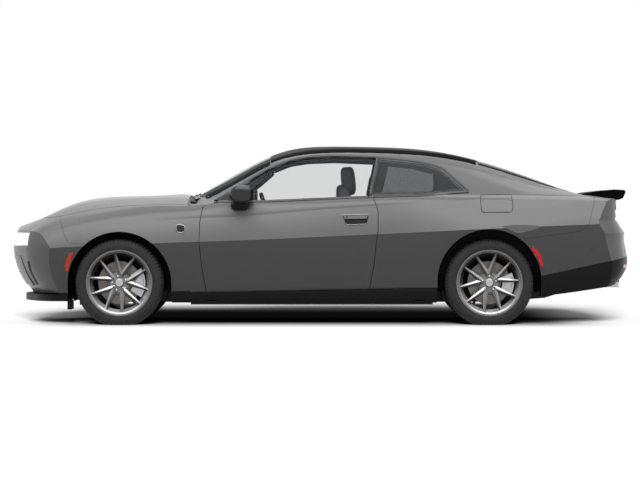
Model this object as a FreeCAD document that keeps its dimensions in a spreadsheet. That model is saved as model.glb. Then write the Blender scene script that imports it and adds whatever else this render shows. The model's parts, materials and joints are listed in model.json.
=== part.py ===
"""Two-door fastback coupe, built as an assembly of separate panels, glass, cabin and running gear.

Millimetres. +X points forward, +Y to the car's left, +Z up. The origin is on the ground, under the
middle of the overall length and width. Left-hand pieces are made first and mirrored to the right.
"""
import FreeCAD, Part
import math
import os
from functools import lru_cache
from FreeCAD import Placement, Rotation, Vector

DOC = FreeCAD.newDocument("coupe")
Y_AXIS = Vector(0, 1, 0)
X_AXIS = Vector(1, 0, 0)
Z_AXIS = Vector(0, 0, 1)

# ---------------------------------------------------------------- driving dimensions
SIZES = [
    # alias, value in mm (or degrees, or a count), what it is
    ("overall_length", 5248, "front bumper to rear bumper"),
    ("overall_width", 2028, "over the rear haunches, without the mirrors"),
    ("overall_height", 1499, "ground to the crown of the roof"),
    ("wheelbase", 3074, "front axle to rear axle"),
    ("front_overhang", 957, "front axle to the front bumper"),
    ("track", 1676, "between the middles of the two tyres of an axle"),
    ("hub_height", 350, "ground to the wheel centre, with the car's weight on its tyres"),
    ("tyre_radius", 366, "tyre, outer radius, unloaded"),
    ("tyre_width", 295, "tyre, over the sidewalls"),
    ("rim_radius", 254, "rim at the bead seat"),
    ("rim_flange", 22, "height of the rim's flange over the bead seat"),
    ("rim_width", 270, "rim, outside one flange to outside the other"),
    ("arch_radius", 432, "wheel arch opening"),
    ("front_arch_lift", -7, "front arch's centre above the wheel centre"),
    ("rear_arch_lift", 15, "rear arch's centre above the wheel centre"),
    ("flare_width", 34, "widest part of the lip round an arch"),
    ("flare_depth", 9, "how far the lip stands out"),
    ("door_wall", 105, "doors and body sides, outer skin to inner trim"),
    ("roof_wall", 45, "roof, with its headlining"),
    ("floor_height", 165, "ground to the underside of the floor"),
    ("floor_thick", 60, "floor"),
    ("panel_gap", 5, "gap round a panel that moves"),
    ("seam", 4, "gap between two fixed panels"),
    ("glass_thick", 5, "side and rear glass"),
    ("sill_top", 290, "ground to the lower edge of the doors, at the middle of the car"),
    ("sill_base", 190, "ground to the underside of the sills"),
    ("hood_thick", 26, "hood"),
    ("disc_radius", 180, "brake disc, outer radius"),
    ("disc_thick", 32, "brake disc"),
    ("caliper_gap", 7, "rim to caliper"),
    ("lug_circle", 60, "radius of the circle of wheel nuts"),
    ("kingpin_inset", 50, "wheel middle to kingpin"),
    ("engine_length", 640, "engine"),
    ("engine_width", 560, "engine"),
    ("engine_height", 600, "engine"),
    ("pipe_radius", 28, "exhaust pipe"),
    ("tip_radius", 42, "tail pipe"),
    ("muffler_length", 400, "muffler"),
    ("muffler_width", 600, "muffler"),
    ("muffler_height", 140, "muffler"),
    ("seat_width", 500, "front seat cushion"),
    ("seat_depth", 520, "front seat cushion, front to back"),
    ("cushion_thick", 130, "seat cushions"),
    ("seat_back_height", 600, "front seat backrest"),
    ("bench_width", 1100, "rear seat"),
    ("steering_wheel_radius", 178, "to the middle of the rim's section"),
]


def make_sheet():
    sheet = DOC.addObject("Spreadsheet::Sheet", "sizes")
    for row, (alias, value, note) in enumerate(SIZES, start=1):
        sheet.set(f"A{row}", alias)
        sheet.set(f"B{row}", str(value))
        sheet.set(f"C{row}", note)
        sheet.setAlias(f"B{row}", alias)
    DOC.recompute()
    return sheet


SHEET = make_sheet()


def size(alias):
    return float(SHEET.get(alias))


HALF_LENGTH = size("overall_length") / 2
HALF_WIDTH = size("overall_width") / 2
HEIGHT = size("overall_height")
FRONT_AXLE = HALF_LENGTH - size("front_overhang")
REAR_AXLE = FRONT_AXLE - size("wheelbase")
HUB_Z = size("hub_height")
HUB_Y = size("track") / 2
GAP = size("panel_gap")
SEAM = size("seam")
FAR = 4000.0  # longer than anything on the car, for cutters that run right through


# ---------------------------------------------------------------- shape helpers
def at(x, y, z):
    return Vector(x, y, z)


def bow(p, q, bulge, middle):
    """An arc from p to q whose middle stands bulge away from the chord, on the side away from middle."""
    if abs(bulge) < 0.01:
        return Part.LineSegment(p, q).toShape()
    half = (p + q) * 0.5
    chord = q - p
    out = half - middle
    normal = out - chord * (out.dot(chord) / chord.dot(chord))
    normal.normalize()
    return Part.Arc(p, half + normal * bulge, q).toShape()


def closed_face(points):
    """A flat face with straight edges through the points."""
    return Part.Face(Part.makePolygon(list(points) + [points[0]]))


def box(x0, x1, y0, y1, z0, z1):
    return Part.makeBox(x1 - x0, y1 - y0, z1 - z0, at(x0, y0, z0))


def mirrored(shape):
    return shape.mirror(at(0, 0, 0), Y_AXIS)


def both_sides(shape):
    """The left piece and its mirror image, as separate solids of one shape."""
    return Part.makeCompound(shape.Solids + mirrored(shape).Solids)


def whole(shape):
    """One piece across the car, from its left half."""
    return shape.fuse(mirrored(shape))


def left_half(shape):
    return shape.common(box(-FAR, FAR, 0, FAR, -FAR, FAR))


# ---------------------------------------------------------------- outer form: the lower body
# Cross-sections along the car. Widths are how far a corner lies inside the half width.
#   anchor, dx: the section is dx ahead of the anchor
#   base: height of the underside      w1: its outer corner
#   w2, z2: lower crease               w3, z3: widest line
#   w4, z4: shoulder crease            w5, z5: fender top, then belt line, then deck edge
#   w6, z6: edge of the crown          z7: height on the centreline
LOWER_SECTIONS = [
    ("nose", 76, 190, 250, 190, 370, 130, 612, 175, 690, 400, 690, 640, 735, 748),
    ("nose", -253, 190, 165, 118, 375, 72, 632, 112, 742, 262, 812, 520, 868, 889),
    ("nose", -532, 190, 122, 84, 375, 42, 648, 70, 815, 182, 908, 420, 985, 1011),
    ("front", 0, 190, 110, 68, 375, 22, 668, 56, 868, 142, 975, 370, 1050, 1072),
    ("front", -367, 190, 118, 80, 375, 38, 682, 68, 872, 130, 989, 352, 1060, 1084),
    ("front", -577, 190, 124, 90, 375, 48, 690, 74, 885, 126, 990, 340, 1052, 1080),
    ("front", -817, 190, 126, 94, 375, 53, 697, 79, 893, 130, 1018, 320, 985, 975),
    ("front", -1667, 190, 128, 96, 375, 55, 733, 82, 958, 127, 1050, 320, 1000, 990),
    ("rear", 707, 190, 122, 89, 375, 46, 765, 77, 1006, 126, 1080, 320, 1020, 1010),
    ("rear", 0, 205, 100, 54, 380, 0, 800, 72, 1046, 160, 1080, 360, 1060, 1050),
    ("rear", -493, 245, 118, 70, 395, 22, 822, 84, 1042, 214, 1074, 400, 1086, 1092),
    ("tail", 202, 320, 156, 112, 425, 68, 843, 116, 1030, 255, 1048, 470, 1058, 1062),
    ("tail", -76, 370, 220, 165, 465, 125, 858, 163, 1010, 300, 1018, 520, 1022, 1025),
]
LOWER_BULGES = (0, 4, 5, 12, 8)  # of the edges base-2, 2-3, 3-4, 4-5 and 5-6

ANCHORS = {
    "nose": HALF_LENGTH,
    "front": FRONT_AXLE,
    "rear": REAR_AXLE,
    "tail": -HALF_LENGTH,
}


def half_arc(end, top):
    """The left half of the arc from end over the top to its mirror point."""
    arc = Part.Arc(end, top, at(end.x, -end.y, end.z))
    first, last = arc.FirstParameter, arc.LastParameter
    return Part.Arc(end, arc.value(first + 0.25 * (last - first)), top).toShape()


def ring(x, side, crown, bulges, middle_z):
    """A closed section: a flat base, the side's corners from the base up, and a crown arc through the top."""
    middle = at(x, 0, middle_z)
    left = [at(x, y, z) for y, z in side]
    edges = [bow(p, q, b, middle) for p, q, b in zip(left, left[1:], bulges)]
    right = [at(x, -y, z) for y, z in reversed(side)]
    back = [bow(p, q, b, middle) for p, q, b in zip(right, right[1:], reversed(bulges))]
    top = Part.Arc(left[-1], at(x, 0, crown), right[0]).toShape()
    base = Part.LineSegment(right[-1], left[0]).toShape()
    return Part.Wire(edges + [top] + back + [base])


@lru_cache(maxsize=None)
def lower_body(side=0.0, top=0.0, base=0.0):
    """The lower body's form, or the same form drawn in by side, top and base."""
    wires = []
    for anchor, dx, zb, w1, w2, z2, w3, z3, w4, z4, w5, z5, w6, z6, z7 in LOWER_SECTIONS:
        x = ANCHORS[anchor] + dx
        w = HALF_WIDTH - side
        points = [
            (w - w1, zb + base),
            (w - w2, z2),
            (w - w3, z3),
            (w - w4, z4 - 0.5 * top),
            (w - w5, z5 - top),
            (HALF_WIDTH - w6 - 0.5 * side, z6 - top),
        ]
        wires.append(ring(x, points, z7 - top, LOWER_BULGES, 600))
    return left_half(Part.makeLoft(wires, True, False))


# Plan outlines at several heights, which round the nose and the tail.
#   z: height       c: setback on the centreline    e, ye: setback and half width where the corner starts
#   s: setback where the corner ends
NOSE_PLAN = [
    (120, 205, 330, 620, 740),
    (300, 140, 262, 640, 640),
    (400, 72, 205, 660, 590),
    (520, 22, 160, 680, 545),
    (645, 0, 140, 690, 525),
    (800, 48, 180, 690, 530),
    (1700, 60, 190, 690, 540),
]
TAIL_PLAN = [
    (120, 235, 290, 700, 560),
    (300, 132, 190, 715, 480),
    (400, 44, 112, 730, 430),
    (520, 0, 80, 735, 415),
    (645, 20, 92, 735, 418),
    (750, 17, 90, 735, 415),
    (870, 104, 150, 735, 450),
    (1700, 104, 150, 735, 450),
]
PLAN_HEIGHTS = [row[0] for row in NOSE_PLAN]
LEDGE = (750, 870)  # foot and top of the sloping step in the tail, which is cut after the rest
CORNER_WIDTH = 32  # how far inside the half width a corner's arc ends
NOSE_CORNER_BULGE = 82
TAIL_CORNER_BULGE = 74


def plan_row(table, z):
    """A plan outline's numbers at any height."""
    for low, high in zip(table, table[1:]):
        if low[0] <= z <= high[0]:
            share = (z - low[0]) / (high[0] - low[0])
            return [a + (b - a) * share for a, b in zip(low, high)]
    return list(table[-1])


@lru_cache(maxsize=None)
def plan_form(inset=0.0):
    """A block whose ends are the rounded nose and tail in plan; its sides lie outside the body."""
    wires = []
    for z in PLAN_HEIGHTS:
        cn, en, yn, sn = plan_row(NOSE_PLAN, z)[1:]
        ct, et, yt, st = plan_row(TAIL_PLAN, min(z, LEDGE[0]))[1:]
        y_end = HALF_WIDTH - CORNER_WIDTH - inset
        front, back = HALF_LENGTH - inset, -HALF_LENGTH + inset

        def point(x, y):
            return at(x, y, z)

        n0, n1, n2 = point(front - cn, 0), point(front - en, yn), point(front - sn, y_end)
        t0, t1, t2 = point(back + ct, 0), point(back + et, yt), point(back + st, y_end)
        flank = point(0, HALF_WIDTH + 90)
        flip = lambda p: at(p.x, -p.y, p.z)
        middle = point(0, 0)
        edges = [
            Part.Arc(flip(n1), n0, n1).toShape(),
            bow(n1, n2, NOSE_CORNER_BULGE, middle),
            Part.LineSegment(n2, flank).toShape(),
            Part.LineSegment(flank, t2).toShape(),
            bow(t2, t1, TAIL_CORNER_BULGE, middle),
            Part.Arc(t1, t0, flip(t1)).toShape(),
            bow(flip(t1), flip(t2), TAIL_CORNER_BULGE, middle),
            Part.LineSegment(flip(t2), flip(flank)).toShape(),
            Part.LineSegment(flip(flank), flip(n2)).toShape(),
            bow(flip(n2), flip(n1), NOSE_CORNER_BULGE, middle),
        ]
        wires.append(Part.Wire(edges))
    return left_half(Part.makeLoft(wires, True, False))


# ---------------------------------------------------------------- outer form: the greenhouse
# Sections like the lower body's, from the cowl to the deck.
#   wf, zf: foot, hidden in the lower body      wq, zq: belt line
#   ws, zs: side glass top                      wt, zt: roof ditch    crown: roof height, below the roof's top
GREEN_SECTIONS = [
    ("front", -547, 175, 890, 190, 945, 262, 985, 330, 1000, 478),
    ("front", -767, 135, 880, 160, 985, 232, 1058, 300, 1105, 340),
    ("front", -1002, 125, 880, 140, 1010, 262, 1166, 336, 1228, 206),
    ("front", -1254, 122, 900, 132, 1030, 300, 1306, 382, 1370, 80),
    ("front", -1500, 121, 920, 130, 1040, 330, 1384, 428, 1444, 14),
    ("front", -1755, 120, 940, 130, 1052, 345, 1404, 442, 1468, 0),
    ("rear", 922, 122, 960, 132, 1070, 352, 1396, 446, 1466, 5),
    ("rear", 450, 128, 980, 140, 1085, 352, 1350, 450, 1436, 38),
    ("rear", 120, 140, 990, 158, 1090, 346, 1290, 452, 1374, 104),
    ("rear", -300, 150, 990, 178, 1088, 340, 1180, 456, 1246, 236),
    ("rear", -720, 165, 985, 200, 1070, 350, 1092, 462, 1100, 394),
    ("rear", -940, 190, 960, 230, 1020, 370, 1030, 470, 1035, 462),
]
GREEN_BULGES = (0, 14, 12, 6)


@lru_cache(maxsize=None)
def greenhouse(side=0.0, top=0.0):
    """The cabin's form above the belt line, or the same form drawn in by side and top."""
    wires = []
    for anchor, dx, wf, zf, wq, zq, ws, zs, wt, zt, drop in GREEN_SECTIONS:
        x = ANCHORS[anchor] + dx
        w = HALF_WIDTH - side
        points = [
            (w - wf - 200, zf - 120),
            (w - wf, zf),
            (w - wq, zq),
            (w - ws, zs - 0.6 * top),
            (HALF_WIDTH - wt - 0.7 * side, zt - top),
        ]
        wires.append(ring(x, points, HEIGHT - drop - top, GREEN_BULGES, 900))
    return left_half(Part.makeLoft(wires, True, False))


# ---------------------------------------------------------------- outer form: joined, stepped and cut
# From here on every form is the left half of the car; pieces that cross the middle are made whole at the end.
ARCHES = {"front": (FRONT_AXLE, size("front_arch_lift")), "rear": (REAR_AXLE, size("rear_arch_lift"))}
NOSE_RECESS = (650, 765, 190, 790)  # bottom, top, depth, half width
LOWER_INTAKE = (336, 548, 8, 560)  # bottom, top, depth of its grooves, half width
LAMP_RECESS = (868, 950, 45, 776)  # the tail's, as the nose's
GREEN = greenhouse()
PLAN = plan_form()


def plan_face(z, shift, front):
    """The left half of the plan outline at height z, moved in from the end by shift."""
    c, e, y_end, s = plan_row(NOSE_PLAN if front else TAIL_PLAN, z)[1:]
    tip = HALF_LENGTH if front else -HALF_LENGTH
    sign = 1 if front else -1
    points = [at(tip - sign * (setback + shift), y, 0) for setback, y in
              ((c, 0), (e, y_end), (s, HALF_WIDTH - CORNER_WIDTH))]
    bulge = NOSE_CORNER_BULGE if front else TAIL_CORNER_BULGE
    edges = [
        half_arc(points[1], points[0]),
        bow(points[1], points[2], bulge, at(0, 0, 0)),
        Part.LineSegment(points[2], at(0, points[2].y + 90, 0)).toShape(),
        Part.LineSegment(at(0, points[2].y + 90, 0), at(0, 0, 0)).toShape(),
        Part.LineSegment(at(0, 0, 0), points[0]).toShape(),
    ]
    return Part.Face(Part.Wire(Part.sortEdges(edges)[0]))


def end_slab(shift_out, shift_in, z0, z1, y1, front=True):
    """An upright curved slab across the nose or tail, between two setbacks from the plan outline."""
    middle = (z0 + z1) / 2
    x0, x1 = (1500, 3000) if front else (-3000, -1500)
    face = closed_face([at(x0, 0, 0), at(x1, 0, 0), at(x1, y1, 0), at(x0, y1, 0)])
    if shift_out is not None:
        face = face.common(plan_face(middle, shift_out, front))
    face = face.cut(plan_face(middle, shift_in, front))
    face.translate(at(0, 0, z0))
    return face.extrude(Vector(0, 0, z1 - z0))


def ledge_cutter():
    """All that the tail's step takes away: a slope, and the upright face above it."""
    low, high = (plan_face(z, 0, False).translated(at(0, 0, z)) for z in LEDGE)
    slope = Part.makeLoft([low.OuterWire, high.OuterWire], True, True)
    upright = high.extrude(at(0, 0, 1000))
    return box(-3000, -1500, 0, 1100, LEDGE[0], LEDGE[1] + 900).cut([slope, upright])


def arch_cutter(axle, lift, radius, y0, y1):
    """The space of a wheel arch: round over the wheel, with straight sides below."""
    z = HUB_Z + lift
    round_part = Part.makeCylinder(radius, y1 - y0, at(axle, y0, z), Y_AXIS)
    return round_part.fuse(box(axle - radius, axle + radius, y0, y1, -200, z))


def flare(axle, lift):
    """The raised lip round an arch, widest at its top and front."""
    radius = size("arch_radius")
    half = size("flare_width") / 2
    z = HUB_Z + lift
    disc = Part.makeCylinder(radius + half, 400, at(axle + 0.55 * half, 700, z + 0.8 * half), Y_AXIS)
    lip = disc.common(lower_body(side=-size("flare_depth")))
    return lip.common(box(axle - 900, axle + 900, 600, 1100, z - 120, 1000))


LEDGE_CUTTER = ledge_cutter()


def make_outer():
    shape = lower_body().common(PLAN)
    steps = [LEDGE_CUTTER]
    for (z0, z1, depth, y_half), front in ((NOSE_RECESS, True), (LAMP_RECESS, False)):
        steps.append(end_slab(None, depth, z0, z1, y_half, front))
    lips = [flare(axle, lift) for axle, lift in ARCHES.values()]
    holes = [arch_cutter(axle, lift, size("arch_radius"), 400, 1200) for axle, lift in ARCHES.values()]
    return shape.cut(steps).fuse([GREEN] + lips).cut(holes)


OUTER = make_outer()
OUTER_FRONT = OUTER.common(box(700, 3000, 0, FAR, -100, 1300))
OUTER_REAR = OUTER.common(box(-3000, -1200, 0, FAR, -100, 1600))

# ---------------------------------------------------------------- hollows
WALL = size("door_wall")
FLOOR_Z = size("floor_height")
FLOOR_TOP = FLOOR_Z + size("floor_thick")
SILL_Z = size("sill_base")
FIREWALL_X = 1080.0
FIREWALL = 30.0
NOSE_INSIDE = 2440.0  # inner face of the bumper's middle, and of the tail's, as a distance from the origin
POCKET_WALL = 16.0  # bumper round a recess
TRUNK_X = -1150.0  # front end of the boot's hollow

CABIN = (lower_body(side=WALL).common(PLAN).fuse(greenhouse(side=58, top=size("roof_wall")))
         .common(box(-NOSE_INSIDE, FIREWALL_X, 0, FAR, FLOOR_TOP, 2000)))


def pocket(recess, front):
    """The space that a recess in the nose or tail and the bumper's walls round it take up."""
    z0, z1, depth, y1 = recess
    return end_slab(None, depth + POCKET_WALL, z0 - POCKET_WALL, z1 + POCKET_WALL, y1 + POCKET_WALL, front)


BAY = (lower_body(side=38, top=size("hood_thick"), base=30).common(plan_form(60))
       .common(box(930, NOSE_INSIDE, 0, FAR, 100, 2000)).cut(pocket(NOSE_RECESS, True)))
TRUNK = (lower_body(side=40, base=30).common(plan_form(40))
         .common(box(-NOSE_INSIDE, TRUNK_X, 0, FAR, 0, 2000))
         .cut([LEDGE_CUTTER.translated(at(40, 0, -30)), pocket(LAMP_RECESS, False)]))
SHELL = OUTER.cut(CABIN)
FRONT_SHELL = OUTER_FRONT.cut(BAY)
REAR_SHELL = OUTER_REAR.cut(TRUNK)

# ---------------------------------------------------------------- lines that part the panels
SILL_SLOPE = 0.0197  # how much the lower edge of the doors drops towards the nose


def sill_z(x):
    """Height of the lower edge of the doors and body sides."""
    return size("sill_top") - SILL_SLOPE * x


# Side view, as points (x, z).
DOOR_LINE = [
    (883, 1030), (973, 977), (997, 853), (1002, 683), (984, 514), (945, sill_z(945)),
    (-408, sill_z(-408)), (-449, 516), (-462, 654), (-480, 791), (-480, 956), (-463, 998),
    (-439, 1062), (436, 1028),
]
FENDER_LINE = [
    (2260, 1200), (2169, 884), (2123, 751), (2090, 683), (1955, 674), (FRONT_AXLE, 343),
    (FRONT_AXLE, sill_z(FRONT_AXLE)), (945, sill_z(945)), (984, 514), (1002, 683), (997, 853), (973, 977),
    (883, 1030), (850, 1200),
]
BUMPER_BASE = 266
FRONT_BUMPER_LINE = [
    (2260, 1200), (2169, 884), (2123, 751), (2090, 683), (1955, 674), (FRONT_AXLE, 343),
    (FRONT_AXLE, BUMPER_BASE), (2900, BUMPER_BASE), (2900, 1200),
]
BODY_LINE = [
    (1060, 1700), (1060, 1066), (883, 1030), (850, sill_z(850)),
    (REAR_AXLE, sill_z(REAR_AXLE)), (REAR_AXLE, 365),
    (-1686, 717), (-2160, 779), (-2228, 830), (-2290, 1062), (-2320, 1700),
]
REAR_BUMPER_LINE = [
    (-2320, 1700), (-2290, 1062), (-2228, 830), (-2160, 779), (-1686, 717), (-1500, 482), (-1839, 407),
    (-2560, 560), (-2900, 575), (-2900, 1700),
]
DIFFUSER_LINE = [(-1500, 482), (-1839, 407), (-2560, 560), (-2900, 575), (-2900, 100), (-1500, 100)]
DOOR_GLASS_LINE = [
    (850, 1012), (846, 1040), (612, 1176), (430, 1284), (252, 1356), (96, 1386), (-131, 1396),
    (-462, 1384), (-405, 1080), (-400, 1012),
]
QUARTER_GLASS_LINE = [
    (-416, 1078), (-473, 1383), (-812, 1347), (-884, 1335), (-993, 1299), (-1080, 1234), (-1208, 1118),
    (-885, 1092),
]
# Plan view, left half, as points (x, y).
HOOD_LINE = [(1096, 0), (1096, 864), (1300, 862), (1667, 848), (1960, 828), (2070, 813), (2150, 785),
             (2214, 738), (2262, 670), (2300, 580), (2330, 460), (2352, 320), (2366, 160), (2371, 0)]
TAILGATE_LINE = [(-1322, 0), (-1322, 574), (-1700, 574), (-2050, 590), (-2190, 690), (-2340, 752),
                 (-2700, 770), (-2700, 0)]
ROOF_FRONT = 414
ROOF_REAR = -1317


def roof_edge(x):
    """Half width of the roof between its ditches."""
    rows = [(ANCHORS[row[0]] + row[1], HALF_WIDTH - row[8]) for row in GREEN_SECTIONS]
    for (xa, ya), (xb, yb) in zip(rows, rows[1:]):
        if xb <= x <= xa:
            return ya + (yb - ya) * (x - xa) / (xb - xa)
    return rows[-1][1]


def edge_strip(x0, x1, inset, steps=6):
    """Plan outline of the left half between the middle and the roof's ditch, from x0 to x1."""
    xs = [x0 + (x1 - x0) * i / steps for i in range(steps + 1)]
    return [(x0, 0)] + [(x, roof_edge(x) - inset) for x in xs] + [(x1, 0)]


def grown(outline, gap):
    """A closed outline with every edge moved outwards by gap, or inwards if gap is negative."""
    if abs(gap) < 0.01:
        return outline
    pairs = list(zip(outline, outline[1:] + outline[:1]))
    area = sum(p[0] * q[1] - q[0] * p[1] for p, q in pairs)
    lines = []
    for (px, py), (qx, qy) in pairs:
        length = math.hypot(qx - px, qy - py)
        nx, ny = (qy - py) / length, (px - qx) / length
        push = gap if area > 0 else -gap
        lines.append((nx, ny, nx * px + ny * py + push))
    moved = []
    for (a, b, c), (d, e, f) in zip(lines[-1:] + lines[:-1], lines):
        det = a * e - b * d
        moved.append(((c * e - b * f) / det, (a * f - c * d) / det))
    return moved


def side_region(outline, gap=0.0, y0=0.0, y1=FAR):
    """A prism over a side-view outline, grown by gap."""
    face = closed_face([at(x, y0, z) for x, z in grown(outline, gap)])
    return face.extrude(Vector(0, y1 - y0, 0))


def plan_region(outline, gap=0.0, z0=-FAR, z1=FAR):
    """A prism over a plan outline, grown by gap."""
    face = closed_face([at(x, y, z0) for x, y in grown(outline, gap)])
    return face.extrude(Vector(0, 0, z1 - z0))


# ---------------------------------------------------------------- document objects
NODES = {}


def largest(shape, count=1):
    """The biggest solids of a boolean's result, without its slivers."""
    solids = sorted(shape.Solids, key=lambda s: -s.Volume)[:count]
    return solids[0] if len(solids) == 1 else Part.makeCompound(solids)


def solid(name, shape):
    """A node whose shape was made with Part's functions."""
    item = DOC.addObject("Part::Feature", name)
    item.Shape = shape
    item.Label = name
    NODES[name] = item


def left_and_right(name, shape):
    solid(name + "_left", shape)
    solid(name + "_right", mirrored(shape))


# ---------------------------------------------------------------- glass
def make_glass():
    thick = size("glass_thick")
    sheet = GREEN.cut(greenhouse(side=thick, top=thick))
    door = largest(sheet.common(side_region(DOOR_GLASS_LINE, 0, 300)))
    quarter = largest(sheet.common(side_region(QUARTER_GLASS_LINE, 0, 300)))
    screen = sheet.common(plan_region(edge_strip(1052, ROOF_FRONT + SEAM, 8), 0, 1020, 2000))
    rear = sheet.common(plan_region(edge_strip(-1340, -2120, 14), 0, 1060, 2000))
    return door, quarter, largest(screen), largest(rear)


DOOR_GLASS, QUARTER_GLASS, SCREEN_HALF, REAR_GLASS_HALF = make_glass()
left_and_right("door_glass", DOOR_GLASS)
solid("quarter_glass", both_sides(QUARTER_GLASS))
solid("windscreen", whole(SCREEN_HALF))
solid("rear_glass", whole(REAR_GLASS_HALF))


# ---------------------------------------------------------------- body side, roof, doors
FLOOR_SIDE = 745.0  # half width of the floor, where the inner sills start
SILL_SIDE = 835.0  # half width over the inner sills, where the sill covers start
INNER_SILL_TOP = 298.0


def make_body_side():
    """The ring round the door: pillars, roof rail, quarter panel and inner sill."""
    wall = SHELL.common(side_region(BODY_LINE))
    wall = wall.cut([
        side_region(DOOR_LINE, GAP, 500),
        side_region(DOOR_GLASS_LINE, GAP + 1, 300),
        plan_region(edge_strip(1200, ROOF_FRONT, 26)),
        SCREEN_HALF,
        plan_region(edge_strip(ROOF_FRONT, ROOF_REAR, 4)),
        plan_region(TAILGATE_LINE, GAP + 1),
        box(1000, 3000, -1, FAR, -100, 940),
        side_region(QUARTER_GLASS_LINE, -18, 300),
        QUARTER_GLASS,
    ])
    pillar = BAY.common(box(1012, FIREWALL_X, 770, 1000, INNER_SILL_TOP - 2, 960))
    sill = box(-945, FIREWALL_X, FLOOR_SIDE, SILL_SIDE, SILL_Z, INNER_SILL_TOP)
    posts = [box(-620, -490, FLOOR_SIDE, SILL_SIDE, INNER_SILL_TOP - 2, 640),
             box(-620, -490, FLOOR_SIDE, 900, 314, 640)]
    return largest(largest(wall).fuse([pillar, sill] + posts))


BODY_SIDE = make_body_side()
left_and_right("body_side", BODY_SIDE)

ROOF = whole(largest(SHELL.common(plan_region(edge_strip(ROOF_FRONT, ROOF_REAR, 4), 0, 1200, 2000))))
solid("roof_panel", ROOF)


# The inner face of the door's outer skin, as (y, z).
DOOR_SKIN_LINE = [(870, 290), (888, 375), (932, 690), (912, 893), (858, 1010), (858, 1100), (300, 1100),
                  (300, 290)]


def make_door():
    """An outer skin with the whole outline, and a deeper inner part drawn in from the shut line."""
    blank = SHELL.common(side_region(DOOR_LINE, 0, 600))
    face = closed_face([at(-700, y, z) for y, z in DOOR_SKIN_LINE])
    inside = face.extrude(Vector(1900, 0, 0))
    belt = side_region([(840, 1100), (700, 960), (-380, 960), (-400, 1100)], 0, 500)
    rim = inside.cut([side_region(DOOR_LINE, -24, 300), belt])
    above = side_region([(900, 1030), (436, 1028), (-439, 1062), (-600, 1075), (-600, 1600), (900, 1600)],
                        0, 300)
    over_sill = box(-1000, FIREWALL_X, 0, SILL_SIDE + SEAM, 0, INNER_SILL_TOP + SEAM)
    return largest(blank.cut([rim, above, over_sill, DOOR_GLASS]))


DOOR = make_door()
left_and_right("door", DOOR)

# ---------------------------------------------------------------- hood and fenders
HOOD_UNDER = [(900, 962), (1300, 962), (1667, 948), (1950, 905), (2150, 858), (2420, 820), (2420, 1300),
              (900, 1300)]
HOOD_HALF = FRONT_SHELL.common(plan_region(HOOD_LINE, 0, 780, 1300)).common(side_region(HOOD_UNDER, 0, -1))
solid("hood", whole(largest(HOOD_HALF)))


def make_fender():
    skin = FRONT_SHELL.common(side_region(FENDER_LINE, -SEAM / 2))
    return largest(skin.cut([plan_region(HOOD_LINE, GAP), side_region(DOOR_LINE, GAP, 400),
                             box(700, 1092, -1, 780, 0, 2000), box(850, 1092, -1, FAR, 1000, 1300)]))


FENDER = make_fender()
left_and_right("fender", FENDER)


# ---------------------------------------------------------------- nose
def slats(slab, z_first, z_last, pitch, thick):
    """Horizontal bars cut from a curved slab."""
    count = int((z_last - z_first) / pitch) + 1
    strips = [box(0, 3000, -1, 1200, z_first + i * pitch, z_first + i * pitch + thick) for i in range(count)]
    return slab.common(Part.makeCompound(strips))


LAMP_INNER = 520  # half width where the headlamps begin
BAR_PITCH, BAR_THICK = 12, 6
LOW_PITCH, LOW_THICK = 24, 14


def make_nose():
    z0, z1, depth, y1 = NOSE_RECESS
    edge = y1 - SEAM
    lamp_sill = z0 + 44
    lamp = end_slab(depth - 41, depth, lamp_sill, z1 - 5, edge)
    lamp = lamp.common(box(2000, 3000, LAMP_INNER, edge, 0, 1000))
    back = end_slab(depth - 17, depth, z0, z1 - 3, edge)
    bar_slab = end_slab(depth - 35, depth - 17, z0, z1 - 3, edge)
    middle = box(0, 3000, -1, LAMP_INNER - 6, 0, 1000)
    bars = [slats(bar_slab, z0 + SEAM, lamp_sill - 8, BAR_PITCH, BAR_THICK),
            slats(bar_slab, lamp_sill + SEAM, z1 - 14, BAR_PITCH, BAR_THICK).common(middle)]
    upper = largest(back.fuse(bars).cut(lamp))
    zl, zu, groove, low_y = LOWER_INTAKE
    wall = FRONT_SHELL.common(box(2200, 3000, 0, low_y, zl, zu))
    low_bars = slats(wall, zl + 8, zu - 16, LOW_PITCH, LOW_THICK)
    lower = largest(wall.translated(at(-groove, 0, 0)).fuse(low_bars))
    return lamp, whole(upper), whole(lower)


LAMP, GRILLE_UPPER, GRILLE_LOWER = make_nose()
solid("grille", Part.makeCompound([GRILLE_UPPER, GRILLE_LOWER]))
solid("headlamps", both_sides(LAMP))


def make_marker(outline):
    """A side marker lamp, set into the skin beside an arch."""
    return largest(OUTER.common(side_region(outline, 0, 935)))


FRONT_MARKER = make_marker([(2086, 596), (2122, 596), (2112, 448), (2092, 452)])
REAR_MARKER = make_marker([(-1730, 640), (-1768, 650), (-1866, 492), (-1846, 480)])
solid("side_markers", Part.makeCompound(both_sides(FRONT_MARKER).Solids + both_sides(REAR_MARKER).Solids))


# Holes along X: x of the blind end, y, z, radius.
TOW_EYE = (2480, 400, 590, 9)
PLATE_BOLT = (-2560, 89, 690, 3)


def hole_along_x(hole):
    """A hole from its blind end out through the nearer bumper."""
    x, y, z, radius = hole
    return Part.makeCylinder(radius, 400, at(x, y, z), X_AXIS if x > 0 else Vector(-1, 0, 0))


HOOD_NOSE_GAP = 8.0


def make_front_bumper():
    zl, zu, _, low_y = LOWER_INTAKE
    shape = FRONT_SHELL.common(side_region(FRONT_BUMPER_LINE))
    intake = box(2200, 3000, -1, low_y, zl, zu)
    hood_gap = plan_region(HOOD_LINE, HOOD_NOSE_GAP)
    return largest(shape.cut([hood_gap, intake, LAMP, FRONT_MARKER, hole_along_x(TOW_EYE)]))


FRONT_BUMPER = make_front_bumper()
solid("front_bumper", whole(FRONT_BUMPER))


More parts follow.
